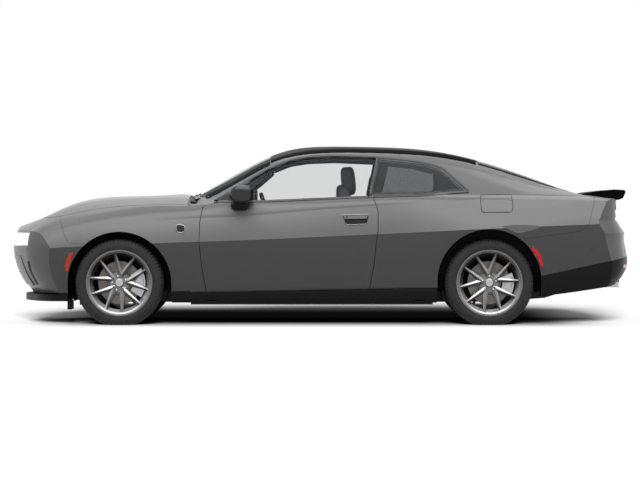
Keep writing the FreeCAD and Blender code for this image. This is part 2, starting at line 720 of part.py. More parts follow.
SPLITTER_BACK = FRONT_AXLE + size("arch_radius")
SPLITTER_LIP = 33  # how far the blade stands out ahead of the bumper
SPLITTER = (196, 250)  # underside and top of the blade
FLAP = (SPLITTER_BACK - 26, SPLITTER_BACK + 6, 560, 860, 126, 200)  # deflector ahead of the tyre


def make_splitter():
    """A blade under the nose, the skirt above it and a deflector ahead of each tyre."""
    z0, z1 = SPLITTER
    face = plan_face(300, -SPLITTER_LIP, True).common(closed_face(
        [at(SPLITTER_BACK, -1, 0), at(3000, -1, 0), at(3000, FAR, 0), at(SPLITTER_BACK, FAR, 0)]))
    slab = face.translated(at(0, 0, z0)).extrude(at(0, 0, z1 - z0))
    blade = slab.common(lower_body(side=-14))
    band = box(SPLITTER_BACK, 3000, 0, FAR, z1 - 50, BUMPER_BASE + SEAM)
    skirt = lower_body().common(PLAN).common(band).cut(BAY)
    skirt = skirt.cut(box(0, 2250, -1, 780, 0, 400))
    return largest(blade.fuse([skirt, box(*FLAP)]).cut(FRONT_BUMPER))


solid("front_splitter", whole(make_splitter()))


# ---------------------------------------------------------------- tail
LAMP_FRONT = 5  # the tail lamp's lens, in from the tail's outline
GATE_BASE = 958  # lower edge of the tailgate
TIP_Y, TIP_Z = 560, 346  # middle of a tail pipe
TIP_GAP = 8.0


def make_tail():
    z0, z1, depth, y1 = LAMP_RECESS
    lamp = end_slab(LAMP_FRONT, depth, z0 + SEAM, z1 - SEAM, y1 - SEAM, front=False)
    gate = plan_region(TAILGATE_LINE, GAP + 1, GATE_BASE - GAP, 3000)
    bumper = REAR_SHELL.common(side_region(REAR_BUMPER_LINE, -SEAM / 2))
    bumper = bumper.cut([gate, REAR_MARKER, hole_along_x(PLATE_BOLT)])
    tip_hole = Part.makeCylinder(size("tip_radius") + TIP_GAP, 500, at(-2800, TIP_Y, TIP_Z), X_AXIS)
    open_base = box(-2430, -1000, -1, 650, 0, 395)
    under = REAR_SHELL.common(side_region(DIFFUSER_LINE)).cut([bumper, open_base, tip_hole])
    return largest(bumper), largest(under), largest(lamp)


REAR_BUMPER, DIFFUSER, TAIL_LAMP = make_tail()
solid("rear_bumper", whole(REAR_BUMPER))
solid("rear_diffuser", whole(DIFFUSER))
solid("tail_lamp", whole(TAIL_LAMP))


TAILGATE_UNDER = [(-1300, 1322), (-1707, 1178), (-2060, 1052), (-2478, 1000), (-2478, GATE_BASE),
                  (-2800, GATE_BASE),
                  (-2800, 1700), (-1300, 1700)]


def make_tailgate():
    lid = OUTER_REAR.common(plan_region(TAILGATE_LINE, 0, GATE_BASE, 3000))
    shape = lid.common(side_region(TAILGATE_UNDER, 0, -1))
    hole = plan_region(edge_strip(-1392, -2070, 50))
    return largest(shape.cut([REAR_GLASS_HALF, hole]))


solid("tailgate", whole(make_tailgate()))

SPOILER_PROFILE = [(-2206, 1040), (-2206, 1094), (-2304, 1112), (-2467, 1128), (-2549, 1123), (-2558, 1106),
                   (-2537, 1056), (-2500, 1040)]
SPOILER_PLAN = [(-2206, 0), (-2206, 560), (-2330, 690), (-2400, 735), (-2600, 735), (-2600, 0)]


SPOILER_OVERHANG = 38


def make_spoiler():
    blank = side_region(SPOILER_PROFILE, 0, 0, 800).common(plan_region(SPOILER_PLAN))
    return largest(blank.common(PLAN.translated(at(-SPOILER_OVERHANG, 0, 0))).cut(OUTER_REAR))


solid("spoiler", whole(make_spoiler()))


# ---------------------------------------------------------------- sills, cowl, mirrors
def make_sill():
    """A cover from arch to arch, cut off below the sloping edge of the doors."""
    base = SILL_Z - 5
    profile = [(SILL_SIDE + 1, base), (900, base), (914, base + 30), (928, 262), (932, 284), (932, 340),
               (SILL_SIDE + 1, 340)]
    x0, x1 = REAR_AXLE + size("arch_radius") + 3, FRONT_AXLE - size("arch_radius") - 3
    face = closed_face([at(x0, y, z) for y, z in profile])
    back, front = x0 - 9, x1 + 9
    above = side_region([(back, sill_z(back) - SEAM), (front, sill_z(front) - SEAM),
                         (front, 500), (back, 500)])
    return face.extrude(Vector(x1 - x0, 0, 0)).cut(above)


SILL = make_sill()
solid("side_sills", both_sides(largest(SILL)))
COWL = lower_body(top=6).common(box(1030, 1090, 0, 770, 960, 1200)).cut([BODY_SIDE, FENDER, SCREEN_HALF])
solid("cowl", whole(largest(COWL)))


def make_mirror():
    # Outline of the head at several stations: x, inner y, outer y, bottom z, top z.
    stations = [(560, 905, 1096, 1022, 1158), (640, 900, 1100, 1016, 1162), (720, 912, 1080, 1034, 1142),
                (762, 950, 1050, 1062, 1112)]
    wires = []
    for x, y0, y1, z0, z1 in stations:
        y, z = (y0 + y1) / 2, (z0 + z1) / 2
        corners = [at(x, y0, z), at(x, y, z1), at(x, y1, z), at(x, y, z0)]
        pairs = zip(corners, corners[1:] + corners[:1])
        wires.append(Part.Wire([bow(a, b, 0.2 * (b - a).Length, at(x, y, z)) for a, b in pairs]))
    head = Part.makeLoft(wires, True, False)
    stalk = side_region([(590, 960), (700, 960), (690, 1062), (612, 1062)], 0, 860, 962)
    return largest(head.fuse(stalk).cut([DOOR, DOOR_GLASS]))


left_and_right("mirror", make_mirror())


# ---------------------------------------------------------- running gear and cabin, as parametric objects
def add(kind, name, **values):
    """A document object. A text value is an expression on the sheet, any other value is set as it is."""
    item = DOC.addObject(kind, name)
    for key, value in values.items():
        if isinstance(value, str):
            item.setExpression(key, value)
        else:
            setattr(item, key, value)
    return item


def place(item, x, y, z, rotation=None):
    item.Placement = Placement(at(x, y, z), rotation or Rotation())
    return item


def block(name, length, width, height, x, y, z, round_edges=0.0, rotation=None):
    """A box whose rear, right, lower corner is at x, y, z, with rounded edges if asked."""
    item = place(add("Part::Box", name, Length=length, Width=width, Height=height), x, y, z, rotation)
    if not round_edges:
        return item
    DOC.recompute()
    fillet = DOC.addObject("Part::Fillet", name + "_rounded")
    fillet.Base = item
    fillet.Edges = [(i, round_edges, round_edges) for i in range(1, 13)]
    return fillet


def rod(name, radius, height, x, y, z, axis=Z_AXIS):
    return place(add("Part::Cylinder", name, Radius=radius, Height=height), x, y, z, Rotation(Z_AXIS, axis))


def fuse(name, items):
    return add("Part::MultiFuse", name, Shapes=items)


def mirror_of(item):
    return add("Part::Mirroring", item.Name + "_mirrored", Source=item, Normal=Y_AXIS, Base=at(0, 0, 0))


def node(name, *items):
    """Names the node's object; several items become one compound of separate solids."""
    item = items[0] if len(items) == 1 else add("Part::Compound", name, Links=list(items))
    item.Label = name
    NODES[name] = item
    return item


def revolved(profile, x, y, z):
    """A ring about the axle from a closed outline of (radius, along) points; a third value is an arc's
    middle bulge towards the next point."""
    points = [at(0, p[1], p[0]) for p in profile]
    edges = []
    middle = at(0, 0, sum(p[0] for p in profile) / len(profile))
    for p, a, b in zip(profile, points, points[1:] + points[:1]):
        edges.append(bow(a, b, p[2] if len(p) > 2 else 0, middle))
    shape = Part.Face(Part.Wire(edges)).revolve(at(0, 0, 0), Y_AXIS, 360)
    return shape.translated(at(x, y, z))


# Wheels. Along the axle, 0 is the wheel's middle and + is outboard.
RIM_SEAT = size("rim_radius")
RIM_EDGE = size("rim_width") / 2
FLANGE = size("rim_flange")
BARREL = 15.0
TYRE_R = size("tyre_radius")
TYRE_W = size("tyre_width") / 2
DISH_R = 221.0  # the rim's inner face, behind the spokes
DISC_IN, DISC_OUT = 8.0, 8.0 + size("disc_thick")
HUB_FACE = 92.0
SPOKES = 5
SPOKE_ANGLE = 20.0
KINGPIN_Y = HUB_Y - size("kingpin_inset")


def make_tyre():
    bead = RIM_EDGE - 8
    half = [(RIM_SEAT, bead), (RIM_SEAT + FLANGE + 1, bead), (RIM_SEAT + FLANGE + 2, RIM_EDGE - 4, 9),
            (TYRE_R - 52, TYRE_W - 2, 2), (TYRE_R - 22, TYRE_W - 8, 8),
            (TYRE_R - 2, TYRE_W - 34, 1), (TYRE_R, 60)]
    bulges = [p[2] if len(p) > 2 else 0 for p in half]
    right = [(r, -y, bulges[len(half) - 2 - i] if i < len(half) - 1 else 0) for i, (r, y, *b)
             in enumerate(reversed(half))]
    return revolved(half + right, 0, 0, 0)


def make_spoke(tilt):
    """One tapering blade with a ridge, from the hub to the barrel; tilt leans it to its side of the V."""
    side = math.copysign(1, tilt)
    angle = math.radians(tilt)
    tip = at(245 * math.sin(angle), 0, 245 * math.cos(angle))
    root = at(-side * 4, 0, 50)
    along = (tip - root).normalize()
    across = at(along.z, 0, -along.x)

    def section(centre, half, back, edge, ridge):
        flat = 0.15 * half
        rows = [(-half, back), (-half, edge), (-flat, ridge), (flat, ridge), (half, edge), (half, back)]
        return Part.makePolygon([centre + across * u + at(0, v, 0) for u, v in rows + rows[:1]])

    return Part.makeLoft([section(root, 25, 76, 88, 99), section(tip, 9.5, 82, 110, 119)], True, True)


def make_rim():
    flange = RIM_SEAT + FLANGE
    lip = RIM_EDGE - 8
    barrel = revolved([(RIM_SEAT - BARREL, -RIM_EDGE), (flange, -RIM_EDGE), (flange, -lip), (RIM_SEAT, -lip),
                       (RIM_SEAT, lip), (flange, lip), (flange, RIM_EDGE), (flange - 14, RIM_EDGE),
                       (flange - 17, RIM_EDGE - 6), (RIM_SEAT - 7, RIM_EDGE - 14), (DISH_R, 66), (DISH_R, 44),
                       (RIM_SEAT - BARREL, 20)], 0, 0, 0)
    hub = revolved([(0.01, 40), (78, 40), (84, HUB_FACE - 6), (80, HUB_FACE), (36, HUB_FACE),
                    (34, HUB_FACE + 9),
                    (28, HUB_FACE + 12), (0.01, HUB_FACE + 12)], 0, 0, 0)
    solids = [hub]
    for i in range(SPOKES):
        for tilt in (SPOKE_ANGLE, -SPOKE_ANGLE):
            spoke = make_spoke(tilt)
            spoke.rotate(at(0, 0, 0), Y_AXIS, 360 / SPOKES * i)
            solids.append(spoke)
    nuts = []
    for i in range(SPOKES):
        a = 2 * math.pi * i / SPOKES
        x, z = size("lug_circle") * math.sin(a), size("lug_circle") * math.cos(a)
        nuts.append(Part.makeCylinder(14, 60, at(x, HUB_FACE - 22, z), Y_AXIS))
    return barrel.fuse(solids).cut(nuts)


def sector(r0, r1, y0, y1, half_angle):
    """Part of a ring that spans half_angle to each side of straight back."""
    ring_shape = Part.makeCylinder(r1, y1 - y0, at(0, y0, 0), Y_AXIS).cut(
        Part.makeCylinder(r0, y1 - y0, at(0, y0, 0), Y_AXIS))
    reach = 2 * r1
    rise = reach * math.tan(math.radians(half_angle))
    return ring_shape.common(side_region([(0, 0), (-reach, rise), (-reach, -rise)], 0, -400, 400))


def make_caliper(half_angle, r1):
    body = sector(112, r1, DISC_IN - 34, 70, half_angle)
    slot_start = at(0, DISC_IN - 5.5, 0)
    slot = Part.makeCylinder(size("disc_radius") + 6, DISC_OUT - DISC_IN + 11, slot_start, Y_AXIS)
    return body.cut(slot)


TYRE = make_tyre()
RIM = make_rim()
WHEELS = {"front": (FRONT_AXLE, 11.5), "rear": (REAR_AXLE, -6.2)}  # axle, how far the spokes are turned
CALIPERS = {"front": (34, DISH_R - size("caliper_gap")), "rear": (24, 206)}  # half angle, outer radius
for end, (axle, turn) in WHEELS.items():
    hub = at(axle, HUB_Y, HUB_Z)
    rim = RIM.copy()
    rim.rotate(at(0, 0, 0), Y_AXIS, -turn)
    disc = Part.makeCylinder(size("disc_radius"), DISC_OUT - DISC_IN, at(0, DISC_IN, 0), Y_AXIS)
    left_and_right(f"tyre_{end}", TYRE.translated(hub))
    left_and_right(f"rim_{end}", rim.translated(hub))
    left_and_right(f"disc_{end}", disc.translated(hub))

# Knuckles. The front ones turn about their kingpins and carry the calipers.
KINGPIN_R = 20.0
ARM = (226.0, 258.0)  # underside and top of the lower arms
for end, (axle, turn) in WHEELS.items():
    hub = at(axle, HUB_Y, HUB_Z)
    inner = 690 if end == "rear" else KINGPIN_Y - 32
    foot = ARM[1] - HUB_Z + (0 if end == "rear" else 8)
    upright = box(-30, 30, inner - HUB_Y, -14, foot, 110)
    stub = Part.makeCylinder(52, DISC_IN + 9, at(0, -14, 0), Y_AXIS)
    arm = box(-118, -20, -40, -26, -35, 35)
    half_angle, r1 = CALIPERS[end]
    knuckle = upright.fuse([stub, arm]).translated(hub)
    caliper = make_caliper(half_angle, r1).translated(hub)
    if end == "front":
        knuckle = knuckle.fuse(Part.makeCylinder(KINGPIN_R, 236, at(axle, KINGPIN_Y, ARM[1] + 6), Z_AXIS))
        left_and_right("knuckle_front", knuckle)
        left_and_right("caliper_front", caliper.cut(knuckle))
    else:
        solid("knuckles_rear", both_sides(knuckle))
        solid("calipers_rear", both_sides(caliper.cut(knuckle)))

# Wheelhouses: liners round the tyres.
HOUSE_BASE = 275.0
HOUSES = {"front": (468, 12, 38), "rear": (640, 12, 105)}  # inner face, sheet thickness, skin outside it


def make_wheelhouse(end):
    axle, lift = ARCHES[end]
    inner, sheet, skin = HOUSES[end]
    radius = size("arch_radius") + 4
    outer = arch_cutter(axle, lift, radius + sheet, inner, 1000)
    hollow = arch_cutter(axle, lift, radius, inner + sheet, 1001)
    space = BAY if end == "front" else lower_body(side=skin)
    sheet_metal = outer.cut(hollow).common(space).common(box(-3000, 3000, 0, 1200, HOUSE_BASE, 2000))
    beside_sill = box(REAR_AXLE, FRONT_AXLE, SILL_SIDE - 40, 1200, 0, INNER_SILL_TOP + 4)
    return largest(sheet_metal.cut(beside_sill))


HOUSE_FRONT = make_wheelhouse("front")
HOUSE_REAR = make_wheelhouse("rear")
solid("wheelhouses", Part.makeCompound(both_sides(HOUSE_FRONT).Solids + both_sides(HOUSE_REAR).Solids))

# Floor: the pan between the sills, the hollow tunnel, the step up behind the seats and the boot floor.
TUNNEL, TUNNEL_WALL, TUNNEL_TOP = 130.0, 14.0, 420.0  # half width, sheet, top
STEP_X = -943.0  # rear face of the step up to the boot floor
BOOT_Z = 510.0
BOOT_SIDE = 636.0
REAR_SIDE_TOP = 400.0  # top of the rear subframe, which carries the boot floor
FLOOR_HALF = [
    (STEP_X, FIREWALL_X, TUNNEL - TUNNEL_WALL, FLOOR_SIDE, FLOOR_Z, FLOOR_TOP),
    (STEP_X, FIREWALL_X, TUNNEL - TUNNEL_WALL, TUNNEL, FLOOR_TOP, TUNNEL_TOP),
    (STEP_X, FIREWALL_X, 0, TUNNEL, TUNNEL_TOP - TUNNEL_WALL, TUNNEL_TOP),
    (STEP_X, STEP_X + 25, 0, BOOT_SIDE, TUNNEL_TOP - TUNNEL_WALL, BOOT_Z),
    (STEP_X, STEP_X + 25, TUNNEL - TUNNEL_WALL, BOOT_SIDE, FLOOR_TOP, BOOT_Z),
    (20 - NOSE_INSIDE, STEP_X, 0, BOOT_SIDE, BOOT_Z - 25, BOOT_Z),
    (20 - NOSE_INSIDE, 45 - NOSE_INSIDE, 0, BOOT_SIDE, BOOT_Z, 850),
    (REAR_AXLE - 150, REAR_AXLE + 150, 380, 440, REAR_SIDE_TOP, BOOT_Z - 25),
]
floor = box(*FLOOR_HALF[0])
solid("floor_pan", whole(floor.fuse([box(*row) for row in FLOOR_HALF[1:]])))

# Front structure: firewall, rails along the engine bay and the bumper beam.
BEAM_X = (2315.0, 2365.0)
RAIL_Z = 380.0  # underside of the rails, which sit on the front subframe
FRONT_HALF = [
    (FIREWALL_X + FIREWALL, BEAM_X[0], 398, 460, RAIL_Z, 500),
    (BEAM_X[0], BEAM_X[1], 0, 600, 400, 540),
    (BEAM_X[1], NOSE_INSIDE - LOWER_INTAKE[2], 0, 250, 420, 535),
]
wall_box = box(FIREWALL_X, FIREWALL_X + FIREWALL, 0, 1000, INNER_SILL_TOP + 8, 955)
wall_foot = box(FIREWALL_X, FIREWALL_X + FIREWALL, 0, FLOOR_SIDE, FLOOR_Z, INNER_SILL_TOP + 8)
tunnel_mouth = box(0, 3000, -1, TUNNEL - TUNNEL_WALL, 0, TUNNEL_TOP - TUNNEL_WALL)
firewall = BAY.common(wall_box.fuse(wall_foot)).cut([BODY_SIDE, tunnel_mouth])
solid("front_structure", whole(largest(firewall.fuse([box(*row) for row in FRONT_HALF]))))

# Subframes with the lower arms. The front arms end under the kingpins.
# end: axle, tip of the arm, top of the side members
SUB = {"front": (FRONT_AXLE, KINGPIN_Y + 20, RAIL_Z), "rear": (REAR_AXLE, HUB_Y - 100, REAR_SIDE_TOP)}
SUB_Z = 215.0
subframes = []
for end, (axle, y_arm, side_top) in SUB.items():
    beams = [box(axle - 130, axle - 70, 0, 430, SUB_Z, 288), box(axle + 70, axle + 130, 0, 430, SUB_Z, 288),
             box(axle - 130, axle + 130, 380, 440, SUB_Z, side_top),
             box(axle - 26, axle + 26, 430, y_arm, *ARM)]
    subframes.append(whole(largest(beams[0].fuse(beams[1:]))))
solid("subframes", Part.makeCompound(subframes))

ENGINE_X = 1210
node("engine", block("engine_block", "sizes.engine_length", "sizes.engine_width", "sizes.engine_height",
                     ENGINE_X, -280, 292, 30))

# Exhaust: from the engine through the tunnel and over the rear subframe to two mufflers.
PIPE_Y, PIPE_Z = 55, 342
MUFFLER_X, MUFFLER_Y, MUFFLER_Z = -2420, 20, 334
muffler = block("muffler", "sizes.muffler_length", "sizes.muffler_width", "sizes.muffler_height",
                MUFFLER_X, MUFFLER_Y, MUFFLER_Z, 40)
pipe = rod("pipe", "sizes.pipe_radius", ENGINE_X - MUFFLER_X - 60, MUFFLER_X + 60, PIPE_Y, PIPE_Z, X_AXIS)
tail_pipe = rod("tail_pipe", "sizes.tip_radius", 150, MUFFLER_X - 88, TIP_Y, TIP_Z, X_AXIS)
left_pipe = fuse("exhaust_left", [muffler, tail_pipe, pipe])
node("exhaust", left_pipe, mirror_of(left_pipe))

# Cabin.
SEAT_X, SEAT_Y, SEAT_Z = -290, 140, 330
seat = fuse("seat_left", [
    block("cushion", "sizes.seat_depth", "sizes.seat_width", "sizes.cushion_thick", SEAT_X, SEAT_Y, SEAT_Z,
          40),
    block("seat_foot", 420, 380, SEAT_Z - FLOOR_TOP + 20, SEAT_X + 60, SEAT_Y + 60, FLOOR_TOP),
    block("backrest", 120, 480, "sizes.seat_back_height", SEAT_X + 20, SEAT_Y + 10, SEAT_Z + 70, 45,
          Rotation(Y_AXIS, -13)),
    block("headrest", 90, 260, 210, SEAT_X - 110, SEAT_Y + 120, SEAT_Z + 670, 35, Rotation(Y_AXIS, -8)),
])
node("front_seats", seat, mirror_of(seat))
BENCH_X, BENCH_Z = -905, 440
half_bench = -size("bench_width") / 2
node("rear_seat", fuse("rear_bench", [
    block("bench", 400, "sizes.bench_width", 112, BENCH_X, half_bench, BENCH_Z, 45),
    block("bench_foot_left", 340, 350, BENCH_Z - FLOOR_TOP + 20, BENCH_X, TUNNEL + 4, FLOOR_TOP),
    block("bench_foot_right", 340, 350, BENCH_Z - FLOOR_TOP + 20, BENCH_X, -TUNNEL - 354, FLOOR_TOP),
    block("bench_back", 110, "sizes.bench_width", 470, BENCH_X, half_bench, BOOT_Z + 22, 45,
          Rotation(Y_AXIS, -18)),
]))
DASH_PROFILE = [(1079, 560), (760, 560), (600, 680), (590, 850), (660, 925), (900, 955), (1079, 955)]
COLUMN_X, COLUMN_Y, COLUMN_Z = 640, 370, 850
COLUMN_AXIS = Vector(-1, 0, 0.35)
COLUMN_LENGTH = 184
dash = side_region(DASH_PROFILE, 0, 0, 764).common(CABIN)
console = box(-60, 700, 0, 125, TUNNEL_TOP, 640)
column = Part.makeCylinder(32, COLUMN_LENGTH, at(COLUMN_X, COLUMN_Y, COLUMN_Z), COLUMN_AXIS)
solid("dashboard", whole(largest(dash.fuse(console))).fuse(column))
tilt = Rotation(Z_AXIS, COLUMN_AXIS)
wheel_middle = at(COLUMN_X, COLUMN_Y, COLUMN_Z) + tilt.multVec(at(0, 0, COLUMN_LENGTH + 28))
rim_ring = add("Part::Torus", "wheel_ring", Radius1="sizes.steering_wheel_radius", Radius2=17)
rim_ring.Placement = Placement(wheel_middle, tilt)
spoke_bar = block("wheel_bar", 60, 340, 16, 0, 0, 0)
spoke_bar.Placement = Placement(wheel_middle + tilt.multVec(at(-30, -170, -8)), tilt)
boss = rod("wheel_boss", 60, 40, 0, 0, 0)
boss.Placement = Placement(wheel_middle + tilt.multVec(at(0, 0, -28)), tilt)
node("steering_wheel", fuse("steering_wheel_shape", [rim_ring, spoke_bar, boss]))


# ---------------------------------------------------------------- checks and export
DOC.recompute()
bad = [item.Name for item in DOC.Objects if {"Invalid", "Error"} & set(item.State)]
bad += [name for name, item in NODES.items() if item.Shape.isNull() or not item.Shape.isValid()]
if bad:
    raise RuntimeError(f"these objects failed: {bad}")
os.makedirs("parts", exist_ok=True)
for name, item in NODES.items():
    item.Shape.exportStep(f"parts/{name}.step")
print(f"{len(NODES)} nodes written")
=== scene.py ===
"""Looks of the coupe: finishes, trim, tyres, lamps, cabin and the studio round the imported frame."""
import json
import math

import bmesh
import bpy
from mathutils import Matrix, Vector
from mathutils.bvhtree import BVHTree


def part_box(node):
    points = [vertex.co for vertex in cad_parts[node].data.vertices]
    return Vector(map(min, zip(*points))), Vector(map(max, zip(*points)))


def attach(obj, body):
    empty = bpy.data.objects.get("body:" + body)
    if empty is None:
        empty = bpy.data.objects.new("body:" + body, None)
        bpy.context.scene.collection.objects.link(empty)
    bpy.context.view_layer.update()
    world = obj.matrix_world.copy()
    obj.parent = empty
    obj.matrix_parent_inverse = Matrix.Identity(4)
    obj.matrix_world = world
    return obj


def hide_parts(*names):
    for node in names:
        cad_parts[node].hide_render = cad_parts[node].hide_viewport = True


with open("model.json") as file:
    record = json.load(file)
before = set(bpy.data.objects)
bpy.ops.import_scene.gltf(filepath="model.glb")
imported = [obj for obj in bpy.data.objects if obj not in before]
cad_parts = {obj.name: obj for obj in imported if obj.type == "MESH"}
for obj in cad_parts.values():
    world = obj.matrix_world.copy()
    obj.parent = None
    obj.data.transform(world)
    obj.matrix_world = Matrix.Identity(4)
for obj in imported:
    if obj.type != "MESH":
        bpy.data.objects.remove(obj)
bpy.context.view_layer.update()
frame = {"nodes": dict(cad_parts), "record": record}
NODES = frame["nodes"]
MM = 0.001

# ---------------------------------------------------------------- places, in millimetres, from the frame


def node_box(name):
    """Lowest and highest corner of a CAD node, in millimetres."""
    low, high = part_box(name)
    return Vector(low) / MM, Vector(high) / MM


def hub_of(tyre):
    low, high = node_box(tyre)
    return (low + high) / 2


TYRE_LOW, TYRE_HIGH = node_box("tyre_front_left")
TYRE_R = (TYRE_HIGH.z - TYRE_LOW.z) / 2
TYRE_HALF = (TYRE_HIGH.y - TYRE_LOW.y) / 2
RIM_LOW, RIM_HIGH = node_box("rim_front_left")
RIM_R = (RIM_HIGH.z - RIM_LOW.z) / 2
RIM_OUT = (RIM_HIGH.y - RIM_LOW.y) / 2
SIDES = {"left": 1, "right": -1}

# ---------------------------------------------------------------- materials


def material(name, **inputs):
    """A principled material with the given socket values; returns it with its node tree and shader."""
    m = bpy.data.materials.new(name)
    m.use_nodes = True
    shader = m.node_tree.nodes["Principled BSDF"]
    for key, value in inputs.items():
        socket = shader.inputs[key.replace("_", " ")]
        socket.default_value = (*value, 1.0) if isinstance(value, tuple) and len(value) == 3 else value
    return m, m.node_tree, shader


def node(tree, kind, inputs=(), **settings):
    """A shader node. inputs is a list of (socket, value or output socket) pairs."""
    n = tree.nodes.new(kind)
    for key, value in settings.items():
        setattr(n, key, value)
    for socket, value in inputs:
        if isinstance(value, bpy.types.NodeSocket):
            tree.links.new(value, n.inputs[socket])
        else:
            n.inputs[socket].default_value = value
    return n


def object_coords(tree):
    return node(tree, "ShaderNodeTexCoord").outputs["Object"]


def noise(tree, scale, detail=2.0, vector=None):
    inputs = [("Scale", scale), ("Detail", detail), ("Vector", vector or object_coords(tree))]
    return node(tree, "ShaderNodeTexNoise", inputs).outputs["Fac"]


def ramp(tree, value, stops):
    """A colour ramp through (position, grey or colour) stops."""
    n = node(tree, "ShaderNodeValToRGB", [("Fac", value)])
    elements = n.color_ramp.elements
    while len(elements) < len(stops):
        elements.new(0.5)
    for e, (position, colour) in zip(elements, stops):
        e.position = position
        e.color = (*colour, 1.0) if isinstance(colour, tuple) else (colour, colour, colour, 1.0)
    return n.outputs["Color"]


def bump(tree, shader, height, strength, distance):
    n = node(tree, "ShaderNodeBump", [("Height", height), ("Strength", strength), ("Distance", distance)])
    tree.links.new(n.outputs["Normal"], shader.inputs["Normal"])


def spread(tree, shader, socket, value, low, high):
    """Drives a socket between two numbers by a 0-1 value."""
    n = node(tree, "ShaderNodeMapRange", [("Value", value), ("To Min", low), ("To Max", high)])
    tree.links.new(n.outputs["Result"], shader.inputs[socket])


def times(tree, a, b):
    """The product of two colours."""
    inputs = [("Factor", 1.0), (COLOUR_A, a), (COLOUR_B, b)]
    return node(tree, "ShaderNodeMix", inputs, data_type="RGBA", blend_type="MULTIPLY").outputs[COLOUR_OUT]


def facing_up(tree):
    """The surface's normal, split, and how far it faces up: 0 straight down, 0.5 level, 1 straight up; painted shade
    on the body paint and the rims follows it.
    """
    normal = node(tree, "ShaderNodeSeparateXYZ", [("Vector", node(tree, "ShaderNodeNewGeometry").outputs["Normal"])])
    turn = node(tree, "ShaderNodeMapRange", [("Value", normal.outputs["Z"]), ("From Min", -1.0)])
    return normal, turn.outputs["Result"]


COLOUR_A, COLOUR_B, COLOUR_OUT = 6, 7, 2  # a mix node's colour sockets, by place, as their names repeat


def make_paint():
    """Metallic grey under a thin clear coat, with painted shade: the colour is made lighter or darker by how far the
    panel faces up, darkest where it faces down, and is an even mid grey where it faces forward or back; fine flakes
    vary it at random.
    """
    m, tree, shader = material("paint_silver", Metallic=0.12, Roughness=0.40, Coat_Weight=0.15, Coat_Roughness=0.04,
                               Specular_IOR_Level=0.35)
    normal, turn = facing_up(tree)
    # Painted shade: the base colour follows a ramp on how far the surface faces up.
    painted_shade = ramp(tree, turn, [(0.44, 0.078), (0.490, 0.098), (0.510, 0.25), (0.55, 0.29), (0.61, 0.36), (0.68, 0.25),
                             (0.76, 0.11), (0.86, 0.10), (0.93, 0.22), (0.97, 0.26), (1.0, 0.26)])
    # Painted shade: faces turned forward or back take an even mid grey instead.
    ends = node(tree, "ShaderNodeMath", [(0, normal.outputs["X"])], operation="ABSOLUTE").outputs[0]
    ends = node(tree, "ShaderNodeMapRange", [("Value", ends), ("From Min", 0.02), ("From Max", 0.7)],
                interpolation_type="SMOOTHSTEP").outputs["Result"]
    painted_shade = node(tree, "ShaderNodeMix", [("Factor", ends), (COLOUR_A, painted_shade), (COLOUR_B, (0.17, 0.17, 0.168, 1.0))],
                data_type="RGBA").outputs[COLOUR_OUT]
    flakes = node(tree, "ShaderNodeTexVoronoi", [("Scale", 2600.0), ("Vector", object_coords(tree))])
    sparkle = ramp(tree, flakes.outputs["Color"], [(0.0, 0.82), (1.0, 1.18)])
    tree.links.new(times(tree, painted_shade, sparkle), shader.inputs["Base Color"])
    spread(tree, shader, "Roughness", noise(tree, 9.0), 0.37, 0.43)
    return m


def make_plain(name, colour, low, high, scale=14.0, grain=0.0, grain_scale=900.0, **more):
    """A plastic, rubber or lacquer whose roughness wanders between low and high, with an optional fine grain."""
    m, tree, shader = material(name, Base_Color=colour, **more)
    spread(tree, shader, "Roughness", noise(tree, scale), low, high)
    if grain:
        bump(tree, shader, noise(tree, grain_scale, 3.0), grain, 0.0006)
    return m


def make_glass(name, tint, alpha, specular=0.5, smooth=0.0, rough=0.015):
    m, tree, shader = material(name, Base_Color=tint, Alpha=alpha, Specular_IOR_Level=specular)
    spread(tree, shader, "Roughness", noise(tree, 3.0), smooth, rough)
    return m


def make_tyre():
    m, tree, shader = material("tyre_rubber", Roughness=0.72)
    colour = ramp(tree, noise(tree, 22.0, 5.0), [(0.35, (0.013, 0.013, 0.014)), (0.75, (0.026, 0.025, 0.025))])
    tree.links.new(colour, shader.inputs["Base Color"])
    spread(tree, shader, "Roughness", noise(tree, 40.0), 0.62, 0.8)
    bump(tree, shader, noise(tree, 260.0, 4.0), 0.25, 0.0008)
    return m


def make_metal(name, colour, rough, metallic=1.0, grain=0.0, spread_by=0.08):
    m, tree, shader = material(name, Base_Color=colour, Metallic=metallic)
    spread(tree, shader, "Roughness", noise(tree, 30.0, 4.0), rough - spread_by / 2, rough + spread_by / 2)
    if grain:
        bump(tree, shader, noise(tree, 420.0, 3.0), grain, 0.0008)
    return m


def make_rim():
    """Machined spokes with painted shade: parts that face up are coloured lighter, and those that face down darker."""
    m, tree, shader = material("rim_silver", Metallic=0.45, Roughness=0.26)
    normal, turn = facing_up(tree)
    # Painted shade: the base colour follows how far the surface faces up.
    rim_painted_shade = ramp(tree, turn, [(0.05, 0.03), (0.36, 0.07), (0.47, 0.20), (0.53, 0.27), (0.66, 0.50), (0.9, 0.85)])
    grain = ramp(tree, noise(tree, 34.0, 4.0), [(0.3, 0.86), (0.7, 1.12)])
    tree.links.new(times(tree, rim_painted_shade, grain), shader.inputs["Base Color"])
    return m


def make_turned():
    """Turned iron: fine rings round the axle, with a warm film of wear."""
    m, tree, shader = material("turned_iron", Metallic=0.9)
    rings = node(tree, "ShaderNodeTexWave", [("Scale", 60.0), ("Distortion", 0.3), ("Vector", object_coords(tree))],
                 wave_type="RINGS", rings_direction="Y")
    colour = ramp(tree, noise(tree, 12.0, 4.0), [(0.3, (0.13, 0.112, 0.10)), (0.8, (0.22, 0.195, 0.18))])
    tree.links.new(colour, shader.inputs["Base Color"])
    spread(tree, shader, "Roughness", rings.outputs["Fac"], 0.30, 0.48)
    bump(tree, shader, rings.outputs["Fac"], 0.2, 0.0005)
    return m


